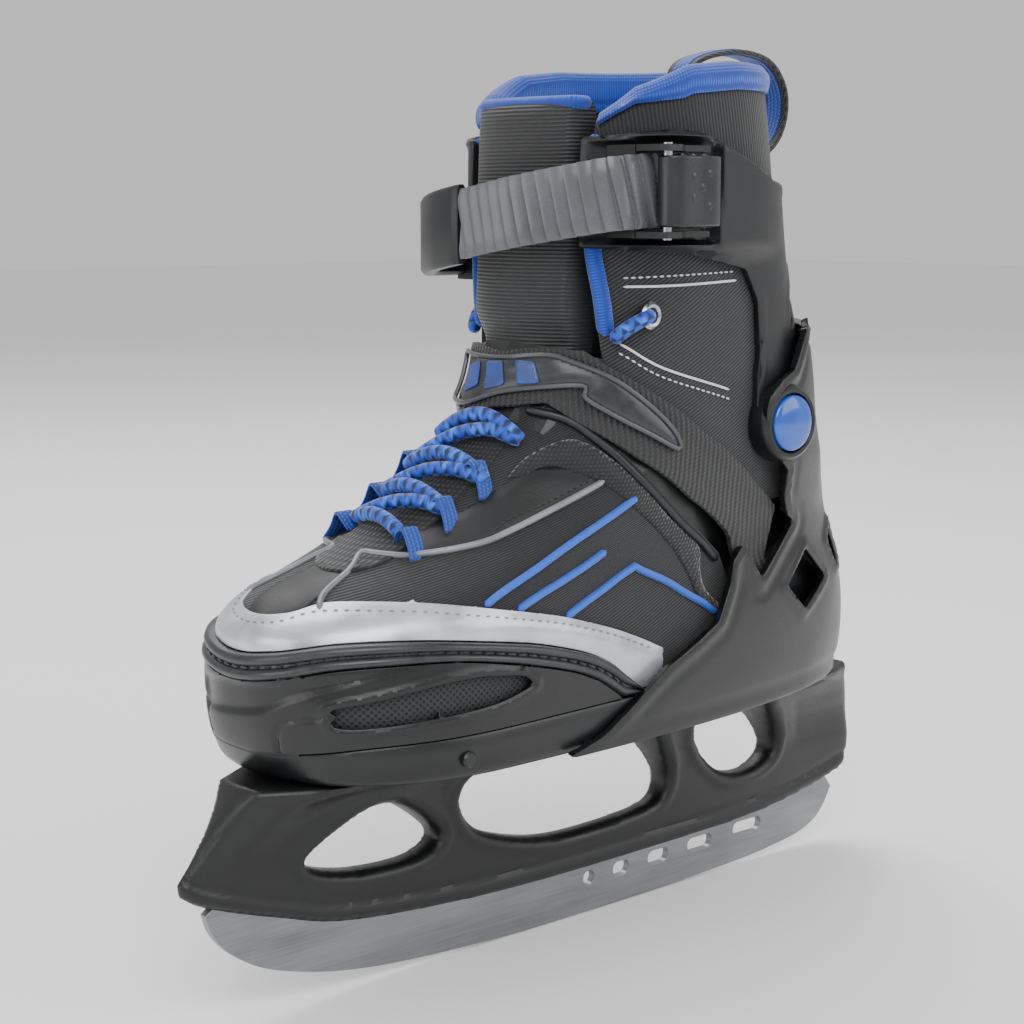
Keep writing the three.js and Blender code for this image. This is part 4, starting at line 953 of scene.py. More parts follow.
chassis = {"rear": -12, "heelStart": -39, "bottom": 74.4, "floorTop": 79, "inset": -16}


def makeChassis():
    rim = toeHeights["rim"]

    def section(share):
        top = rim(share, 86) - 0.35
        low = chassis["bottom"]
        return [(chassis["inset"], low), (0, low), (1.9, low + 0.5), (2.9, low + 1.8), (3.4, low + 3.6),
                (3.4, top - 0.7),
                (2.8, top), (1.1, top), (0.5, top - 0.7), (0.4, chassis["floorTop"] + 1), (-1,
                    chassis["floorTop"]),
                (chassis["inset"], chassis["floorTop"])]

    bm = formBeam(shareAt(chassis["rear"], 82, inner), shareAt(chassis["rear"], 82, outer), section)
    newPiece("sole_tray", bm, looks["shell"], "shell", ["chassis"], sharp=50)

    def heelSection(share):
        low = chassis["bottom"]
        return [(chassis["inset"], low), (3.4, low), (5.6, low + 1), (6.2, low + 2.6), (5.4, low + 4),
                (chassis["inset"], low + 4)]

    start = shareAt(chassis["heelStart"], 78, outer)
    end = 1 + shareAt(chassis["heelStart"], 78, inner)
    newPiece("heel_tray", formBeam(start, end, heelSection), looks["shell"], "shell",
             sharp=50)


toeShell = {
    "vent": [(-127.5, 98, -26), (-122.9, 95.2), (-116.7, 94.3), (-96, 96), (-75.5, 98), (-62.5, 101.5),
             (-62.5, 101.5),
             (-67, 104.5), (-75, 105.8), (-83, 106.6), (-95.9, 105.8), (-113.1, 102.2), (-123, 99.8)],
    "smile": [(-131.5, 92, 24), (-137.6, 96, -4), (-129.5, 101.6), (-118.6, 107), (-108, 111.2), (-108,
        111.2),
              (-126, 109.4), (-137.6, 106.8, -4), (-131, 104, 25)],
    "panel": [(-134.6, 86, -10.4), (-135.2, 92.5, -11.4), (-134.4, 96, -14.6), (-131.1, 97.2, -20.9), (-122,
        99)],
}


def makeToeShell():
    low, high = toeHeights["rim"], toeHeights["weltLow"]
    vent = lineThrough(developed(toeShell["vent"]), closed=True)
    smile = lineThrough(developed(toeShell["smile"]), closed=True)
    panel = lineThrough(developed(toeShell["panel"]))

    def scoops(points, along, z):
        both = np.stack([np.abs(along), z], -1)
        ventDistance = -insideOutline(both, vent)
        smileDistance = insideOutline(np.stack([along, z], -1), smile)
        near = np.min([np.linalg.norm(both - p, axis=1) for p in evenly(panel, 1)], axis=0)
        grow = shellOut + 0.9 * bump(ventDistance, 1.6, 1.1) - 1.2 * ease(smileDistance, -0.2, 2.6)
        return grow - 0.9 * bump(near, 0, 0.7)

    def keep(points, along, z):
        share = 0.5 + along / np.interp(z, formZ, girthAt)
        both = np.stack([np.abs(along), z], -1)
        edges = np.minimum(z - low(share, 88), high(share, 106) - 0.3 - z)
        rear = (-29 + 1.8 * (z - 74)) - points[:, 0]
        return np.minimum.reduce([edges, -insideOutline(both, vent), rear])

    start, end = shareAt(12, 96, inner), shareAt(12, 96, outer)
    bm = formSheet(start, end, 82, 115, scoops, 1.0, keep)
    newPiece("toe_guard", bm, looks["shell"], "toe", ["toe_shell"], wall=2.6, bevel=0.35)

    # the nose comes down in front of the chassis
    def nose(share):
        top = low(share, 86) + 0.5
        return [(-6, 75.6), (1.2, 75.6), (2.7, 76.6), (3.4, 79), (3.4, top), (-4, top), (-6, 79)]

    ends = developed([(-134, 84, -16)])[0, 0] / float(np.interp(84, formZ, girthAt))
    newPiece("toe_nose", formBeam(0.5 - ends, 0.5 + ends, nose, 1.2), looks["shell"], "toe",
             sharp=45)

    netOutline = lineThrough(developed(toeShell["vent"]), closed=True)
    for side, name in bothSides:
        outline = netOutline if side == outer else mirrored(netOutline)

        def inVent(points, along, z):
            return insideOutline(np.stack([along, z], -1), outline) + 1.5

        ends = sorted([shareAt(-54, 100, side), shareAt(-134, 96, side)])
        bm = formSheet(ends[0], ends[1], 90, 110, 1.1, 1.2, inVent)
        newPiece(f"vent_net_{name}", bm, looks["net"], "toe", [f"vent_mesh_{name}"], wall=0.5)


def makeWelt():
    low, high, rim = toeHeights["weltLow"], toeHeights["weltHigh"], toeHeights["rim"]

    def section(share):
        bottom = np.maximum(low(share, 106), rim(share, 88) + 0.6)
        top = np.maximum(high(share, 112) - 0.3, bottom + 1)
        height = top - bottom
        shape = [(0.5, 0), (3.3, 0), (4.3, 0.1), (4.5, 0.24), (4.0, 0.38), (3.0, 0.43), (3.0, 0.53), (3.9,
            0.58),
                 (4.5, 0.72), (4.3, 0.88), (3.2, 1), (0.5, 1)]
        return [(grow, bottom + height * part) for grow, part in shape]

    start, end = shareAt(-13, 92, inner), shareAt(-13, 92, outer)
    newPiece("toe_welt_band", formBeam(start, end, section, 1.5), looks["welt"], "toe", ["toe_welt"],
             sharp=60)
    share = np.linspace(start + 0.005, end - 0.005, 500)
    middle = 0.52 * low(share, 106) + 0.48 * (high(share, 112) - 0.3)
    return formPoints(share, middle, 3.3)


def makeSilver():
    low, high = toeHeights["weltHigh"], toeHeights["silverHigh"]

    def puff(points, along, z):
        share = 0.5 + along / np.interp(z, formZ, girthAt)
        part = np.clip((z - low(share, 112)) / (high(share, 122) - low(share, 112)), 0, 1)
        return 1.3 + 1.0 * np.sin(math.pi * np.clip(part * 0.85 + 0.1, 0, 1)) - 0.5 * bump(high(share,
            122) - z, 2.2, 0.8)

    def keep(points, along, z):
        share = 0.5 + along / np.interp(z, formZ, girthAt)
        rear = (-1.5 + 0.2 * (z - 107)) - points[:, 0]
        return np.minimum.reduce([z - low(share, 112), z - 91.5, high(share, 122) - z, rear])

    start, end = shareAt(4, 108, inner), shareAt(4, 108, outer)
    bm = formSheet(start, end, 88, 132, puff, 1.2, keep)
    newPiece("silver_strip", bm, looks["silver"], "toe", ["toe_cap"], wall=1.0, bevel=0.3)
    share = np.linspace(shareAt(-8, 108, inner), shareAt(-8, 108, outer), 500)
    return formPoints(share, high(share, 122) - 2.1, 1.9)


# a row of stitches along a line: each is a small spindle, laid a little into the cloth
def stitches(name, line, material, body, pitch=3.2, length=2.2, radius=0.32, blend=None):
    ends = evenly(line, pitch / 2)
    bm = bmesh.new()
    for i in range(0, len(ends) - 1, 2):
        start, end = ends[i], ends[i + 1]
        along = Vector(end - start)
        turn = Vector((0, 0, 1)).rotation_difference(along).to_matrix().to_4x4()
        place = Matrix.Translation(Vector((start + end) / 2) * mm) @ turn @ Matrix.Diagonal(
            (radius * mm, radius * mm, length / 2 * mm, 1))
        bmesh.ops.create_icosphere(bm, subdivisions=1, radius=1, matrix=place)
    return newPiece(name, bm, material, body, blend=blend, sharp=0)


makeChassis()
makeToeShell()
weltLine = makeWelt()
silverLine = makeSilver()
stitches("welt_stitches", weltLine, looks["blackThread"], "toe", 4.4, 3.4, 0.45)
stitches("silver_stitches", silverLine, looks["greyThread"], "toe", 3.4, 1.7, 0.3)
print("toe ready")


# a flat ribbon along a line, its width lying along y
def ribbon(line, width, thick):
    line = evenly(line, 1.5)
    along = np.gradient(line, axis=0)
    along /= np.linalg.norm(along, axis=1)[:, None]
    out = np.cross(along, [0, 1, 0])
    w, t = width / 2, thick / 2
    shape = [(-w, -t * 0.5), (-w + 0.4, -t), (w - 0.4, -t), (w, -t * 0.5), (w, t * 0.5), (w - 0.4, t),
             (-w + 0.4, t),
             (-w, t * 0.5)]
    return sweep(np.stack([line + a * np.array([0, 1, 0]) + b * out for a, b in shape], axis=1))


# a solid of one outline (x, y), upright from low to high
def upright(outline, low, high):
    bm = sidePlate([outline], low, high)
    for vert in bm.verts:
        vert.co = vert.co.xzy
    bmesh.ops.recalc_face_normals(bm, faces=bm.faces)
    return bm


# a padded wall on the form: flat inside, rounded over the top, puffed outside
def padSection(inside, outside, low, top, puff):
    def section(share):
        high = top(share)
        span = high - low
        loop = [(inside, low), (inside, high - 6), (inside * 0.92 + outside * 0.08, high - 2.5),
                (inside * 0.5 + outside * 0.5, high), (inside * 0.08 + outside * 0.92, high - 2.5),
                (outside, high - 6)]
        loop += [(outside + puff * math.sin(math.pi * part), high - 6 - (span - 6) * part)
                 for part in (0.15, 0.3, 0.5, 0.7, 0.85)]
        return loop + [(outside, low)]
    return section


# heel shell and ankle pivots

heel = {
    "outline": [(-51, 74.3), (-34, 80), (-17, 92), (-6, 99), (8, 105), (18, 110), (24, 121), (26, 129), (31,
        134),
                (35, 131), (42, 121), (62, 138), (57, 141), (54, 147), (54, 157), (45, 164), (41, 171), (40,
                    178),
                (42, 184), (48, 189), (55, 192), (60, 200), (65, 206), (80, 208), (150, 208), (150, 74.3)],
    "diamond": [(70, 127), (85, 115), (69, 106), (57, 116)],
    "slot": [(91, 127), (95, 132), (103, 119), (99, 116)],
}


def makeHeelShell():
    outline = np.array(heel["outline"])
    windows = [np.array(heel["diamond"]), np.array(heel["slot"])]

    def windowDistance(points):
        return np.min([-insideSide(points, w) for w in windows], axis=0)

    def grow(points, along, z):
        edge = insideSide(points, outline)
        rim = windowDistance(points)
        return cradleIn(z) + 3 + 0.8 * bump(edge, 2, 1.1) + 1.3 * bump(rim, 1.6, 1.4) - 0.5 * bump(edge,
            6.5, 1.2)

    def keep(points, along, z):
        return np.minimum(insideSide(points, outline), windowDistance(points))

    start, end = shareAt(-56, 80, outer), 1 + shareAt(-56, 80, inner)
    bm = formSheet(start, end, 74.5, 208, grow, 1.6, keep)
    newPiece("heel_guard", bm, looks["shell"], "shell", ["heel_shell"], wall=3, bevel=0.5)
    for side, name in bothSides:
        cap = cadBox(f"pivot_cap_{name}")
        face = cap[0][1] if side == outer else cap[1][1]
        radius = (cap[1][0] - cap[0][0]) / 2
        at = (pivot[0], face - side * 2.2, pivot[2])
        ring = [(radius + 0.4, -8), (radius + 0.4, -0.7), (radius + 0.9, -0.1), (radius + 2, 0),
                (radius + 3.2, -0.9),
                (radius + 3.8, -3), (radius + 4.2, -8), (radius + 0.4, -8)]
        newPiece(f"pivot_boss_{name}", turned(ring, at, (0, side, 0)), looks["shell"], "shell")
        dome = [(radius * math.sin(a), 2.2 * math.cos(a) - 0.1) for a in np.linspace(0, math.pi / 2, 10)]
        dome += [(radius, -2), (0, -2)]
        newPiece(f"pivot_dome_{name}", turned(dome, at, (0, side, 0), 56), looks["cap"], "shell",
                 [f"pivot_cap_{name}"])


makeHeelShell()
print("heel ready")


# forefoot fabric

upper = {
    "rear": [(-150, 80), (40, 80), (38, 112), (29, 131), (9, 147), (-9, 162), (-20, 173.5), (-30, 181),
             (-38, 185),
             (-60, 190), (-150, 190)],
    "throat": {"front": -92, "half": 12, "middle": 2},
    "leather": [(-133, 2), (-126, -8), (-114, -9), (-103, -6), (-95.5, -2.5), (-92, -9), (-87.3, -17.5),
                (-71, -28),
                (-58.4, -32.3), (-44.7, -35.2), (-26, -38), (-31, -33), (-37, -28.5), (-46, -23.2), (-57.7,
                    -20),
                (-66, -17), (-76.4, -11), (-86, -3), (-89, 2)],
    "piping": [(-124, 127.5, -13), (-112, 131.5, -9), (-102, 137, -5.5), (-95.5, 140.6, -2.2), (-92, 140.8,
        -8), (-87.3, 141, -17.5),
               (-70.8, 144, -28.5), (-58.4, 147.5, -32.3), (-44.7, 152.5, -35.2), (-24, 160.5, -38.3)],
    "darkPiping": [(-37.8, 182.5, -14.6), (-30, 179.5, -25), (-21, 171.5, -34), (-10.8, 159.5), (6.8, 144.5),
                   (26.6, 129)],
    "knit": [(-52, 161.5, -20.5), (-44, 168, -21), (-33.2, 173, -26), (-25.1, 172, -32), (-14.4, 162.5, -40),
             (1, 147, -41.8), (18.2, 131.5), (27.5, 114), (27.5, 114), (24.7, 111), (12, 126), (0.5, 139),
             (-12.8, 150.5), (-25, 159.5, -38), (-37.1, 165.5, -29), (-46, 163, -24), (-46, 163, -24)],
    "embroidery": [[(-12.4, 154.5), (-45.2, 141), (-77, 127)], [(-27.4, 138.5), (-45.8, 131.5), (-65.3,
        124.5)],
                   [(26, 111), (16, 117), (1, 125), (-14.5, 132), (-14.5, 132), (-30, 126), (-45.9, 119.5)]],
}


def makeForefoot():
    throat = upper["throat"]

    def opening(points):
        past = np.minimum(points[:, 0] - throat["front"], 0)
        return np.hypot(past, points[:, 1] - throat["middle"]) - throat["half"]

    def keep(points, along, z):
        return np.minimum(insideSide(points, upper["rear"]), opening(points))

    start, end = shareAt(38, 110, inner), shareAt(38, 110, outer)
    bm = formSheet(start, end, 93, 184, 0.1, 1.5, keep)
    newPiece("forefoot_fabric", bm, looks["vampTwill"], "toe", ["vamp"], wall=2.2, bevel=0.3)

    def underThroat(points, along, z):
        return np.minimum(insideSide(points, upper["rear"]), -opening(points) + 4)

    bm = formSheet(shareAt(-60, 150, inner), shareAt(-60, 150, outer), 132, 186, -2.6, 1.5, underThroat)
    newPiece("throat_tongue", bm, looks["blackKnit"], "toe", wall=2)

    half = lineThrough(upper["leather"], 4)
    plan = np.vstack([half, (half * [1, -1] + [0, 2 * throat["middle"]])[::-1]])
    silver = toeHeights["silverHigh"]

    def onLeather(points, along, z):
        share = 0.5 + along / np.interp(z, formZ, girthAt)
        return np.minimum(insideOutline(points[:, :2], plan), z - silver(share, 122) + 4.5)

    def leatherGrow(points, along, z):
        return 0.5 + 0.9 * ease(insideOutline(points[:, :2], plan), 0, 3)

    bm = formSheet(shareAt(-22, 150, inner), shareAt(-22, 150, outer), 118, 172, leatherGrow, 1.0, onLeather)
    newPiece("lace_leather", bm, looks["leather"], "toe", ["lace_panel_outer", "lace_panel_inner"],
             wall=1.0)

    knit = lineThrough(developed(upper["knit"]), closed=True)
    for side, name in bothSides:
        flip = (lambda line: line) if side == outer else mirrored
        piping = onForm(flip(lineThrough(developed(upper["piping"]))), 1.1)
        newPiece(f"panel_piping_{name}", tube(piping, 1.1, 10, 1.5), looks["piping"], "toe")
        dark = onForm(flip(lineThrough(developed(upper["darkPiping"]))), 0.8)
        newPiece(f"throat_piping_{name}", tube(dark, 1.5, 10, 1.5), looks["darkPiping"], "toe")
        seam = onForm(flip(lineThrough(developed([(x, z + 2.4, *y) for x, z, *y in upper["piping"][6:]]))),
                      1.6)
        stitches(f"panel_stitches_{name}", seam, looks["blackThread"], "toe", 2.6, 1.8, 0.3)

        def inKnit(points, along, z):
            return insideOutline(np.stack([along * (1 if side == outer else -1), z], -1), knit)

        def knitGrow(points, along, z):
            return 0.6 + 1.2 * ease(inKnit(points, along, z), 0, 2.5)

        ends = sorted([shareAt(30, 125, side), shareAt(-52, 158, side)])
        ends = [ends[0] - 0.03, ends[1] + 0.03]
        bm = formSheet(ends[0], ends[1], 109, 175, knitGrow, 1.3, inKnit)
        newPiece(f"throat_knit_{name}", bm, looks["blackKnit"], "toe", wall=1.2)
        for i, line in enumerate(upper["embroidery"]):
            run = onForm(flip(lineThrough(developed(line))), 0.45)
            newPiece(f"embroidery_{name}_{i + 1}", tube(run, 1.25, 10, 1.2), looks["blueThread"], "toe")


makeForefoot()
print("forefoot ready")


# laces and their loops

laces = {
    "radius": 2.35,
    "turns": [(-50, 15), (-44, -19), (-60, 17), (-58, -18), (-72, 16), (-72, -15), (-84, 14), (-86, -11)],
    "loops": [-58, -72, -86],
    "upper": [(-4.5, 212.5, 0.5), (-6.5, 212.3, 3), (-10, 211, 4.3), (-14, 208.4, 4.3), (-17.5, 204.5, 3.6)],
}


def makeLaces():
    points = []
    turns = laces["turns"]
    for (x0, y0), (x1, y1) in zip(turns, turns[1:]):
        steps = 4 if abs(y1 - y0) > 20 else 1
        for k in range(steps):
            part = k / steps
            x, y = x0 + (x1 - x0) * part, y0 + (y1 - y0) * part
            points.append(topPoint(x, y, 2.4) + [0, 0, laces["radius"] + 1.6 * math.sin(math.pi * part)])
    points.append(topPoint(*turns[-1], 2.4) + [0, 0, laces["radius"]])
    newPiece("lace_crossings", tube(lineThrough(points), laces["radius"], 14, 1.0), looks["lace"], "toe",
             ["lower_lace"])
    for side, name in bothSides:
        for i, x in enumerate(laces["loops"]):
            y = 17 * side + 2
            path = [topPoint(x - 1, y + side * 5.5, 0.6), topPoint(x, y + side * 3, 1.8) + [0, 0, 1.8],
                    topPoint(x, y, 2) + [0, 0, 5.6], topPoint(x, y - side * 3, 2) + [0, 0, 3.2],
                    topPoint(x + 1, y - side * 5, 0) + [0, 0, 0.4]]
            line = evenly(lineThrough(path), 1)
            w, t = 3, 0.5
            rings = np.stack([line + [a, 0, b] for a, b in [(-w, -t), (w, -t), (w, t), (-w, t)]], axis=1)
            newPiece(f"loop_{name}_{i + 1}", sweep(rings), looks["blueWebbing"], "toe",
                     [f"lace_loop_{name}_{i + 1}"])
        end = [sidePoint(x, z, side, grow) for x, z, grow in laces["upper"]]
        newPiece(f"lace_end_{name}", tube(lineThrough(end), laces["radius"], 14, 1.0), looks["lace"], "cuff",
                 [f"upper_lace_{name}"])
        low, high = cadBox(f"eyelet_{name}")
        at = (low + high) / 2
        out = sidePoint(at[0], at[2], side, 4) - sidePoint(at[0], at[2], side, 0)
        ring = [(2.3, -0.6), (4.4, -0.6), (4.5, 0.1), (3.6, 0.9), (2.7, 0.7), (2.3, 0.1), (2.3, -0.6)]
        newPiece(f"eyelet_ring_{name}", turned(ring, at, out / np.linalg.norm(out)), looks["zinc"], "cuff",
                 [f"eyelet_{name}"])


makeLaces()
print("laces ready")


# instep strap and its badge

strap = {
    "low": [(-47, 177, 6), (-43.4, 183, -3.4), (-35.6, 185, -19.5), (-25.2, 178, -32), (-10.9, 167, -41),
            (10.2, 152),
            (30, 138), (42, 122.5)],
    "high": [(-35.1, 200.5, 0), (-31.6, 202.5, -14.7), (-25.3, 201.5, -26), (-16, 196.5, -34), (-3.6, 188.5),
             (16.7, 173.5), (46.4, 152.5), (58, 144)],
    "badge": [(-44, 184, 22), (-45.1, 183.4, 8), (-41.6, 188.5, -8.6), (-30.9, 190.5, -26.5), (-22.5, 186.5,
        -31.5), (-15, 180.5),
              (-6.3, 175), (3.5, 169.3), (4.7, 171.5), (-1, 180.5), (-14.1, 192, -38), (-24.3, 198, -31),
              (-34, 200, -17), (-37.4, 198.5, 0), (-36, 199, 22), (-36, 199, 22)],
    "bars": [[(-42.2, 187, 10), (-40.5, 189.5, 4), (-37.5, 197.2, 6.5), (-39, 195, 12)],
             [(-41.5, 188.5, 0), (-40, 190.3, -7), (-36, 197.8, -3.5), (-37.2, 197.3, 3)],
             [(-38.8, 190.7, -11), (-36.2, 191.2, -17.5), (-33, 198, -14.5), (-35, 198.2, -8.5)]],
}


def makeStrap():
    low, high = (developed(strap[key]) for key in ("low", "high"))
    low[0, 0] = high[0, 0] = 0

    def keep(points, along, z):
        lowEdge = np.interp(np.abs(along), low[:, 0], low[:, 1])
        highEdge = np.interp(np.abs(along), high[:, 0], high[:, 1])
        return np.minimum(z - lowEdge, highEdge - z) * 0.8

    def grow(points, along, z):
        return 2.3 + 0.35 * ease(keep(points, along, z), 0, 1.5) - 0.3 * ease(keep(points, along, z), 2, 3)

    start, end = shareAt(57, 140, inner), shareAt(57, 140, outer)
    bm = formSheet(start, end, 120, 204, grow, 1.4, keep)
    newPiece("strap_webbing", bm, looks["webbing"], "shell", ["instep_strap"], wall=1.9,
             bevel=0.25)

    badge = lineThrough(developed(strap["badge"]), closed=True)

    def onBadge(points, along, z):
        return insideOutline(np.stack([along, z], -1), badge)

    def badgeGrow(points, along, z):
        inside = onBadge(points, along, z)
        return 3.3 + 0.9 * ease(inside, 0, 1.6) + 0.25 * bump(inside, 3.4, 0.7)

    start, end = shareAt(-36, 195, inner) - 0.03, shareAt(6, 170, outer) + 0.03
    bm = formSheet(start, end, 166, 203, badgeGrow, 0.9, onBadge)
    newPiece("badge_leaf", bm, looks["badge"], "shell", ["strap_badge"], wall=1.2)
    rim = onForm(badge, 3.6)
    newPiece("badge_rim", tube(np.vstack([rim, rim[:1]]), 0.85, 8, 1.5, roundEnds=False), looks["badgeRim"],
             "shell")
    for i, bar in enumerate(strap["bars"]):
        outline = developed(bar)

        def onBar(points, along, z):
            return insideOutline(np.stack([along, z], -1), outline)

        bm = formSheet(0.5 - 0.12, 0.5 + 0.12, 182, 203, 4.9, 0.8, onBar)
        newPiece(f"badge_bar_{i + 1}", bm, looks["badgeBlue"], "shell", wall=0.8)


makeStrap()
print("strap ready")


# ankle fabric, collar, tongue and pull loop

ankle = {
    "fabric": [(-20, 246), (-20, 232), (-18.5, 211), (-17, 196), (-6, 186), (25, 160), (44, 145), (75, 145),
               (70, 246)],
    "seams": [("dashed", [(-13, 224.6), (4, 225.2), (30, 226)]), ("solid", [(-13, 221.8), (4, 222), (31,
        223)]),
              ("solid", [(-13, 203.5), (2, 195), (31, 186.5)]), ("dashed", [(-13, 200.4), (2, 192), (31,
                  183.4)])],
    "rim": [(-24, 269.5, -20), (-18, 276.5, -29), (-11, 283.5, -36), (8, 291), (29, 293), (60, 293), (66,
        293)],
    "blueDepth": 8,
    "front": [(-20.1, 270, -27.8), (-20.6, 250, -27.6), (-20.4, 234, -27.6), (-17.9, 219, -30.5), (-16.2,
        206, -31.5)],
}


def makeAnkle():
    outline = np.array(ankle["fabric"])

    def keep(points, along, z):
        return insideSide(points, outline)

    for side, name in bothSides:
        ends = [shareAt(-16, 200, side), shareAt(78, 160, side)]
        ends = sorted(ends)
        ends = [ends[0] - 0.03, ends[1] + 0.03]
        bm = formSheet(ends[0], ends[1], 146, 247, 0.35, 1.5, keep)
        newPiece(f"ankle_fabric_{name}", bm, looks["twill"], "cuff", wall=1.6, bevel=0.3,
                 blend=acrossFold)
        for i, (kind, seam) in enumerate(ankle["seams"]):
            line = np.array([sidePoint(x, z, side, 0.6) for x, z in lineThrough(seam)])
            if kind == "dashed":
                stitches(f"ankle_stitches_{name}_{i + 1}", line, looks["whiteThread"], "cuff", 2.5, 1.9, 0.36,
                         blend=acrossFold)
            else:
                newPiece(f"ankle_seam_{name}_{i + 1}", tube(line, 0.42, 8, 1.2), looks["whiteThread"], "cuff",
                         blend=acrossFold)
        front = onForm(developed(ankle["front"]) if side == outer else mirrored(developed(ankle["front"])), 0)
        newPiece(f"collar_edge_{name}", tube(lineThrough(front), 2.9, 12, 1.5), looks["blueKnit"], "cuff",
                 blend=acrossFold)


def makeCollar():
    rim = np.array([place[:2] for place in ankle["rim"]])
    xs, heights = rim[:, 0], rim[:, 1]

    def top(share):
        x = formPoints(share, 285 + 0 * share)[..., 0]
        return np.interp(x, xs, heights)

    start = shareAt(-20, 255, outer)
    end = 1 + shareAt(-20, 255, inner)
    bm = formBeam(start, end, padSection(-7.6, -0.5, 226, top, 1.0), 2.0, 270)
    pad = newPiece("collar_pad", bm, looks["collarTwill"], "cuff", ["collar"], sharp=70)

    def roll(share):
        high = top(share)
        drop = ankle["blueDepth"] * np.clip((formPoints(share, 285 + 0 * share)[..., 0] + 26) / 30, 0.35, 1)
        return [(-8.5, high - drop * 1.6), (-8.9, high - drop), (-8.6, high - 2.2), (-6.6, high + 0.6),
                (-4, high + 1.3), (-1.4, high + 0.6), (0.8, high - 2.2), (1.2, high - drop * 0.6), (0.5,
                    high - drop),
                (-2, high - drop), (-6, high - drop * 1.6)]

    bm = formBeam(start + 0.004, end - 0.004, roll, 2.0, 285)
    newPiece("collar_roll", bm, looks["blueKnit"], "cuff", sharp=70)


# x of the front of the form at a place across the skate
def frontX(y, z, grow):
    widest = atLevel(widestX, z)
    part = min(1.0, abs(y) / (atLevel(halfWidth, z) + grow))
    n = atLevel(fullness, z)
    return widest - (widest - atLevel(toeX, z) + grow) * (1 - part ** n) ** (1 / n)


def makeTongue():
    top, half = 281.5, 22
    loops = []
    for z in [*np.arange(200, 279, 2.0), 279.6, 280.8, top]:
        edge = math.sqrt(max(0.0, 1 - ((z - 276) / 6) ** 2)) if z > 276 else 1
        ys = np.linspace(-half * (0.94 + 0.06 * edge), half * (0.94 + 0.06 * edge), 25)
        puff = 2.2 + 2.0 * np.cos(ys / half * 1.5) ** 0.6 - 5 * (1 - ease(z, 201, 214))
        outerX = [frontX(y, z, p * (0.4 + 0.6 * edge) - (1 - edge) * 3) for y, p in zip(ys, puff)]
        innerX = [frontX(y, z, -7.5 + (1 - edge) * 3) for y in ys[::-1]]
        loops.append([(x, y, z) for x, y in zip(outerX, ys)] + [(x, y, z) for x, y in zip(innerX, ys[::-1])])
    pad = newPiece("tongue_pad", sweep(np.array(loops)), looks["tongue"], "cuff", ["tongue"],
                   blend=acrossFold, sharp=70)
    line = [(frontX(y, top, 0.6), y, top - 1.4) for y in np.linspace(-half + 0.6, half - 0.6, 21)]
    back = frontX(half, top, -5.5)
    line = [(back, 0.6 - half, top - 1.4)] + line + [(back, half - 0.6, top - 1.4)]
    newPiece("tongue_binding", tube(lineThrough(line), 2.3, 12, 1.5), looks["blueKnit"], "cuff")


def makePullLoop():
    path = lineThrough([(47, 0, 288), (49, 0, 294.5), (57, 0, 298.6), (74, 0, 301), (90, 0, 297.5), (98, 0,
        286),
                        (94, 0, 271), (76, 0, 258), (75, 0, 252)])
    newPiece("loop_webbing", ribbon(path, 12, 1.6), looks["loopWebbing"], "cuff", ["pull_loop"])
    newPiece("loop_stripe", ribbon(path, 7, 2.3), looks["blueWebbing"], "cuff")


makeAnkle()
makeCollar()
makeTongue()
makePullLoop()
print("ankle ready")


# cuff, ladder strap and buckle

cuff = {
    "outline": [(-60, 238), (-30, 234.5), (6, 232), (32, 226.5), (39, 216), (42, 200), (42, 181), (44, 168),
                (52, 161.5), (63, 161.5), (71, 168), (74, 180), (76, 194), (86, 200), (150, 203), (150, 250),
                (75, 252), (46, 256), (12, 270.5), (0, 272), (-24, 269), (-60, 263)],
    "slot": [(62, 214), (67, 226), (70, 224), (68, 208), (64, 204)],
    "frontHalf": 24.3,
    "pocket": {"low": 236, "high": 268, "rear": 14},
}


def makeCuff():
    outline, slot, pocket = np.array(cuff["outline"]), np.array(cuff["slot"]), cuff["pocket"]

    def edge(points):
        side = np.minimum(insideSide(points, outline), -insideSide(points, slot))
        front = np.maximum(np.abs(points[:, 1]) - cuff["frontHalf"], points[:, 0])
        return np.minimum(side, front)

    def grow(points, along, z):
        x, y = points[:, 0], points[:, 1]
        beyond = np.maximum.reduce([pocket["low"] - z, z - pocket["high"], x - pocket["rear"]])
        rail = ease(beyond, -0.8, 1.6) * ease(edge(points), 0, 2.5) * ease(-x, -58, -16) * ease(z, 228, 236)
        outerSide = ease(-y, 18, 34)
        rim = 0.5 * bump(edge(points), 2.2, 1.2)
        return shellOut + 5.2 * rail * outerSide + 1.6 * rail * (1 - outerSide) + rim

    def keep(points, along, z):
        return edge(points)

    bm = formSheet(shareAt(-24, 250, outer), 1 + shareAt(-24, 250, inner), 160, 274, grow, 1.5, keep)
    newPiece("cuff_guard", bm, looks["cuff"], "cuff", ["cuff"], wall=2.9, bevel=0.6)


makeCuff()

ladder = {"width": 23, "thick": 3, "pitch": 5.2, "plain": 30, "tooth": 1.2, "slant": 2.6,
          "profile": [(0, -1.4), (0.5, 0), (1.4, -0.1), (3.9, -0.95), (4.8, -1.4)]}


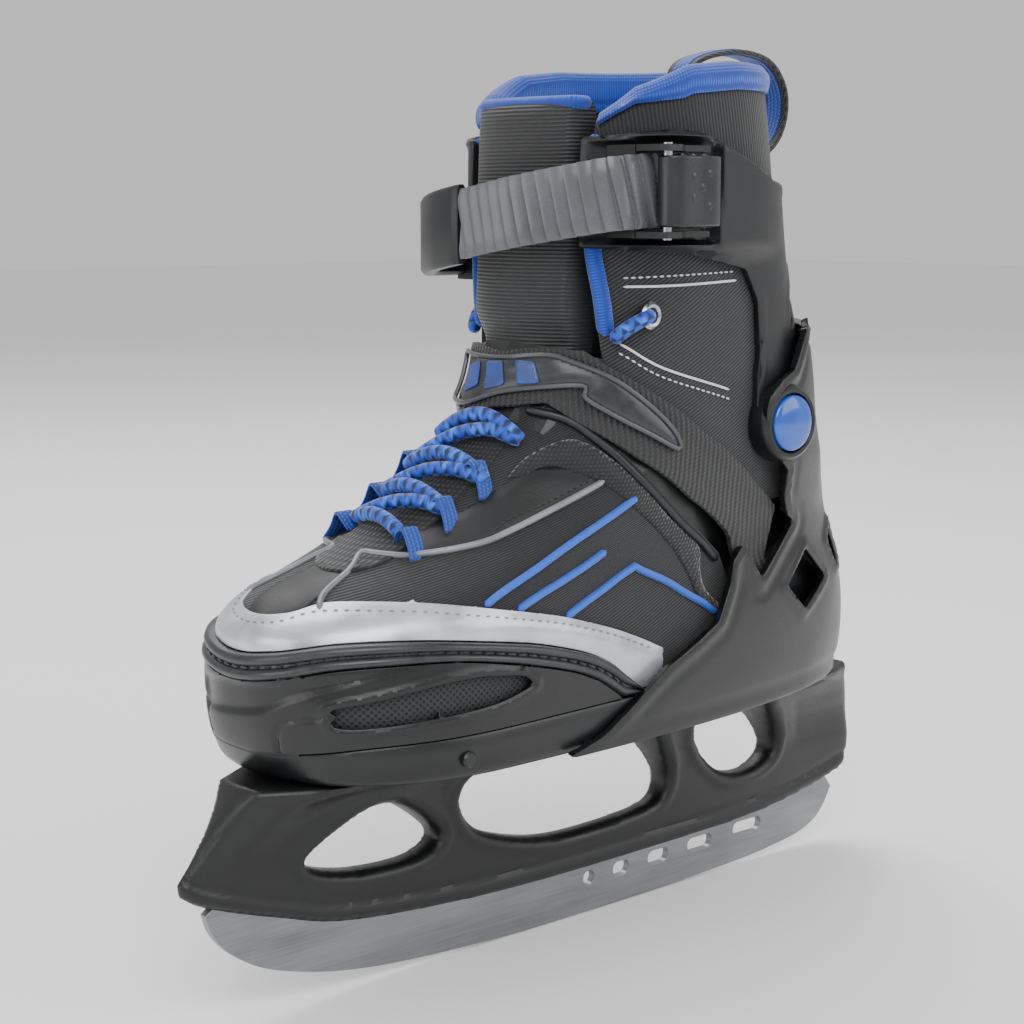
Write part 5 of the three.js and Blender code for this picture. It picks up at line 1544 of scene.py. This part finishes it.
def makeLadder():
    hinge = np.array(joints["ladder_swing"]["pos_m"]) / mm
    buckle = np.array(joints["lever_lift"]["pos_m"]) / mm
    innerFace = -buckle[1] - 3.4 - ladder["thick"]
    radius = hinge[1] + innerFace + ladder["thick"] / 2
    rise = (buckle[2] - hinge[2]) / (innerFace + hinge[1])
    low, high = cadBox("ladder_strap")
    shin = low[0] + 5.6
    arc = [(x, hinge[1] - math.sqrt(radius ** 2 - (x - hinge[0]) ** 2)) for x in (-20, -8, 3, 13)]
    path = lineThrough([(hinge[0], hinge[1]), (hinge[0] - 8, hinge[1]), (-27, 46), (shin - 2, 31),
                        (shin - 4, 10),
                        (shin - 4, -10), (shin, -29), (-29, -44)] + arc, 12)
    line = evenly(np.column_stack([path, 0 * path[:, 0]]), 0.55)
    along = np.gradient(line, axis=0)
    along /= np.linalg.norm(along, axis=1)[:, None]
    out = np.cross([0, 0, 1.0], along)
    out *= -np.sign(out[len(out) // 2, 0])
    run = np.linspace(0, np.linalg.norm(np.diff(line, axis=0), axis=1).sum(), len(line))
    half, thick, tooth = ladder["width"] / 2, ladder["thick"] / 2, ladder["tooth"]
    stations = [(s, 0.0) for s in np.arange(0, ladder["plain"], 2.5)]
    for k in range(int((run[-1] - ladder["plain"]) / ladder["pitch"])):
        start = ladder["plain"] + k * ladder["pitch"]
        stations += [(start + s, lift * tooth) for s, lift in ladder["profile"]]
    # each ring is slanted with the teeth, so that their edges are crisp
    heights = np.linspace(-half, half, 9)
    rings = []
    for s, lift in stations:
        slant = np.interp(s, [0, ladder["plain"], run[-1] - 6, run[-1]], [0, 1, 1, 0]) * ladder["slant"]
        at = np.clip(s - slant * heights / half, 0, run[-1])
        places = np.stack([np.interp(at, run, line[:, k]) for k in range(3)], -1)
        outs = np.stack([np.interp(at, run, out[:, k]) for k in range(3)], -1)
        rise3 = np.where(np.abs(heights) > half - 0.1, min(lift, 0) - 0.7, lift)
        level = np.stack([0 * heights, 0 * heights, heights], -1)
        front = places + outs * (thick + rise3)[:, None] + level
        back = (places - outs * thick + level)[::-1]
        rings.append(np.vstack([front, back]))
    rings = np.array(rings)
    rings[..., 2] += hinge[2] + (hinge[1] - rings[..., 1]) * rise
    newPiece("ladder_band", sweep(rings), looks["ladder"], "ladder", ["ladder_strap"],
             sharp=24)
    # a black sleeve over the plain end
    sleeve = []
    shape = [(-1, -1), (-1, 1), (-0.6, 1.08), (0.6, 1.08), (1, 0.94), (1, -0.94), (0.6, -1.08), (-0.6, -1.08)]
    for p, o, s in zip(line, out, run):
        if 3 < s < 55:
            close = 1 - 0.35 * bump(s, 55, 1.5) - 0.3 * bump(s, 3, 1.5)
            sleeve.append([p + o * (thick + 1.3) * close * u + [0, 0, (half + 0.6) * v] for u, v in shape])
    sleeve = np.array(sleeve)
    sleeve[..., 2] += hinge[2] + (hinge[1] - sleeve[..., 1]) * rise
    newPiece("ladder_sleeve", sweep(sleeve), looks["cuff"], "ladder", bevel=0.4)
    barrel = [(1.6, -half), (2.7, -half), (2.7, half), (1.6, half), (1.6, -half)]
    newPiece("ladder_barrel", turned(barrel, hinge, (0, 0, 1)), looks["ladder"], "ladder")


def makeLever():
    pin = np.array(joints["lever_lift"]["pos_m"]) / mm
    low, high = cadBox("buckle_lever")
    px, py = pin[0], pin[1]
    tip = high[0]
    outline = [(px - 3.2, py + 0.6), (px - 2.1, py + 2.2), (px, py + 3), (px + 3, py + 1.4), (px + 4.6,
        py - 2.6),
               (px + 13.4, py - 2.6), (tip - 2, py - 1), (tip, py - 1.6), (tip, py - 3), (tip - 2, py - 4.2),
               (tip - 5, py - 5.2), (px + 10, py - 6.2), (px + 4, py - 6.3), (px, py - 5.4), (px - 2.4,
                   py - 3.8),
               (px - 3.3, py - 1.5)]
    bm = upright(outline, low[2] + 0.05, high[2] - 0.05)
    newPiece("lever_body", bm, looks["lever"], "lever", ["buckle_lever"], bevel=0.8, sharp=50)
    middle = pin[2]
    for i, (x, z) in enumerate([(5.5, 4.5), (5.5, -2), (9.5, 1.2), (13, 5.5), (13, -4.5)]):
        face = py - 6.3 + max(0.0, (x - 8)) * 0.12
        dimple = [(0, 0.35), (0.9, 0.3), (1.3, 0.12), (1.5, -0.3), (0, -0.3)]
        newPiece(f"lever_dot_{i + 1}", turned(dimple, (px + x, face + 0.05, middle + z), (0, -1, 0), 24),
                 looks["lever"], "lever")


makeLadder()
makeLever()
print("cuff ready")


# camera, floor and light

studio = {"cameraAt": (-475.3, -503.4, 249.9), "lookAt": (-30, 0, 146.5), "lens": 71.7, "world": 0.7}


def makeStudio():
    camera = bpy.data.objects.new("camera", bpy.data.cameras.new("camera"))
    camera.location = Vector(studio["cameraAt"]) * mm
    camera.rotation_euler = (Vector(studio["lookAt"]) * mm - camera.location).to_track_quat("-Z",
        "Y").to_euler()
    camera.data.lens = studio["lens"]
    camera.data.clip_start = 0.01
    bpy.context.scene.collection.objects.link(camera)
    bpy.context.scene.camera = camera

    bm = bmesh.new()
    bmesh.ops.create_grid(bm, x_segments=1, y_segments=1, size=6)
    bmesh.ops.translate(bm, vec=(0, 0, -0.0005), verts=bm.verts)
    mesh = bpy.data.meshes.new("floor")
    bm.to_mesh(mesh)
    bm.free()
    mesh.materials.append(paleFloor())
    floor = bpy.data.objects.new("floor", mesh)
    bpy.context.scene.collection.objects.link(floor)

    # four big soft lamps: key and fill in front, one above and behind, and a weak one at the toe
    for name, place, size, power in [
        ("key", (-0.9, -1.1, 1.3), 1.1, 20), ("fill", (0.9, -1.3, 0.9), 1.2, 12), ("top", (0.3, 0.9, 1.6),
            1.3, 22),
        ("side", (-1.6, 0.3, 0.6), 0.9, 7),
    ]:
        lamp = bpy.data.objects.new(name, bpy.data.lights.new(name, "AREA"))
        lamp.data.size, lamp.data.energy = size, power
        lamp.location = place
        lamp.rotation_euler = (Vector((0, 0, 0.14)) - lamp.location).to_track_quat("-Z", "Y").to_euler()
        bpy.context.scene.collection.objects.link(lamp)
    world = bpy.context.scene.world or bpy.data.worlds.new("studio")
    bpy.context.scene.world = world
    world.use_nodes = True
    background = next(n for n in world.node_tree.nodes if n.type == "BACKGROUND")
    background.inputs["Color"].default_value = (1, 1, 1, 1)
    background.inputs["Strength"].default_value = studio["world"]


makeStudio()

# CAD pieces that show as they are
kept = {"holder_bolt": "zinc", "pivot_rivet": "zinc", "footbed": "lining", "toe_sole": "holder",
        "ladder_pin": "zinc",
        "buckle_screw": "darkZinc", "pawl": "darkZinc", "buckle_pawl": "darkZinc", "lever_pin": "zinc"}
for name, node in frame["nodes"].items():
    if not node.hide_render:
        look = next((l for start, l in kept.items() if name.startswith(start)), "shell")
        node.data.materials.clear()
        node.data.materials.append(looks[look])
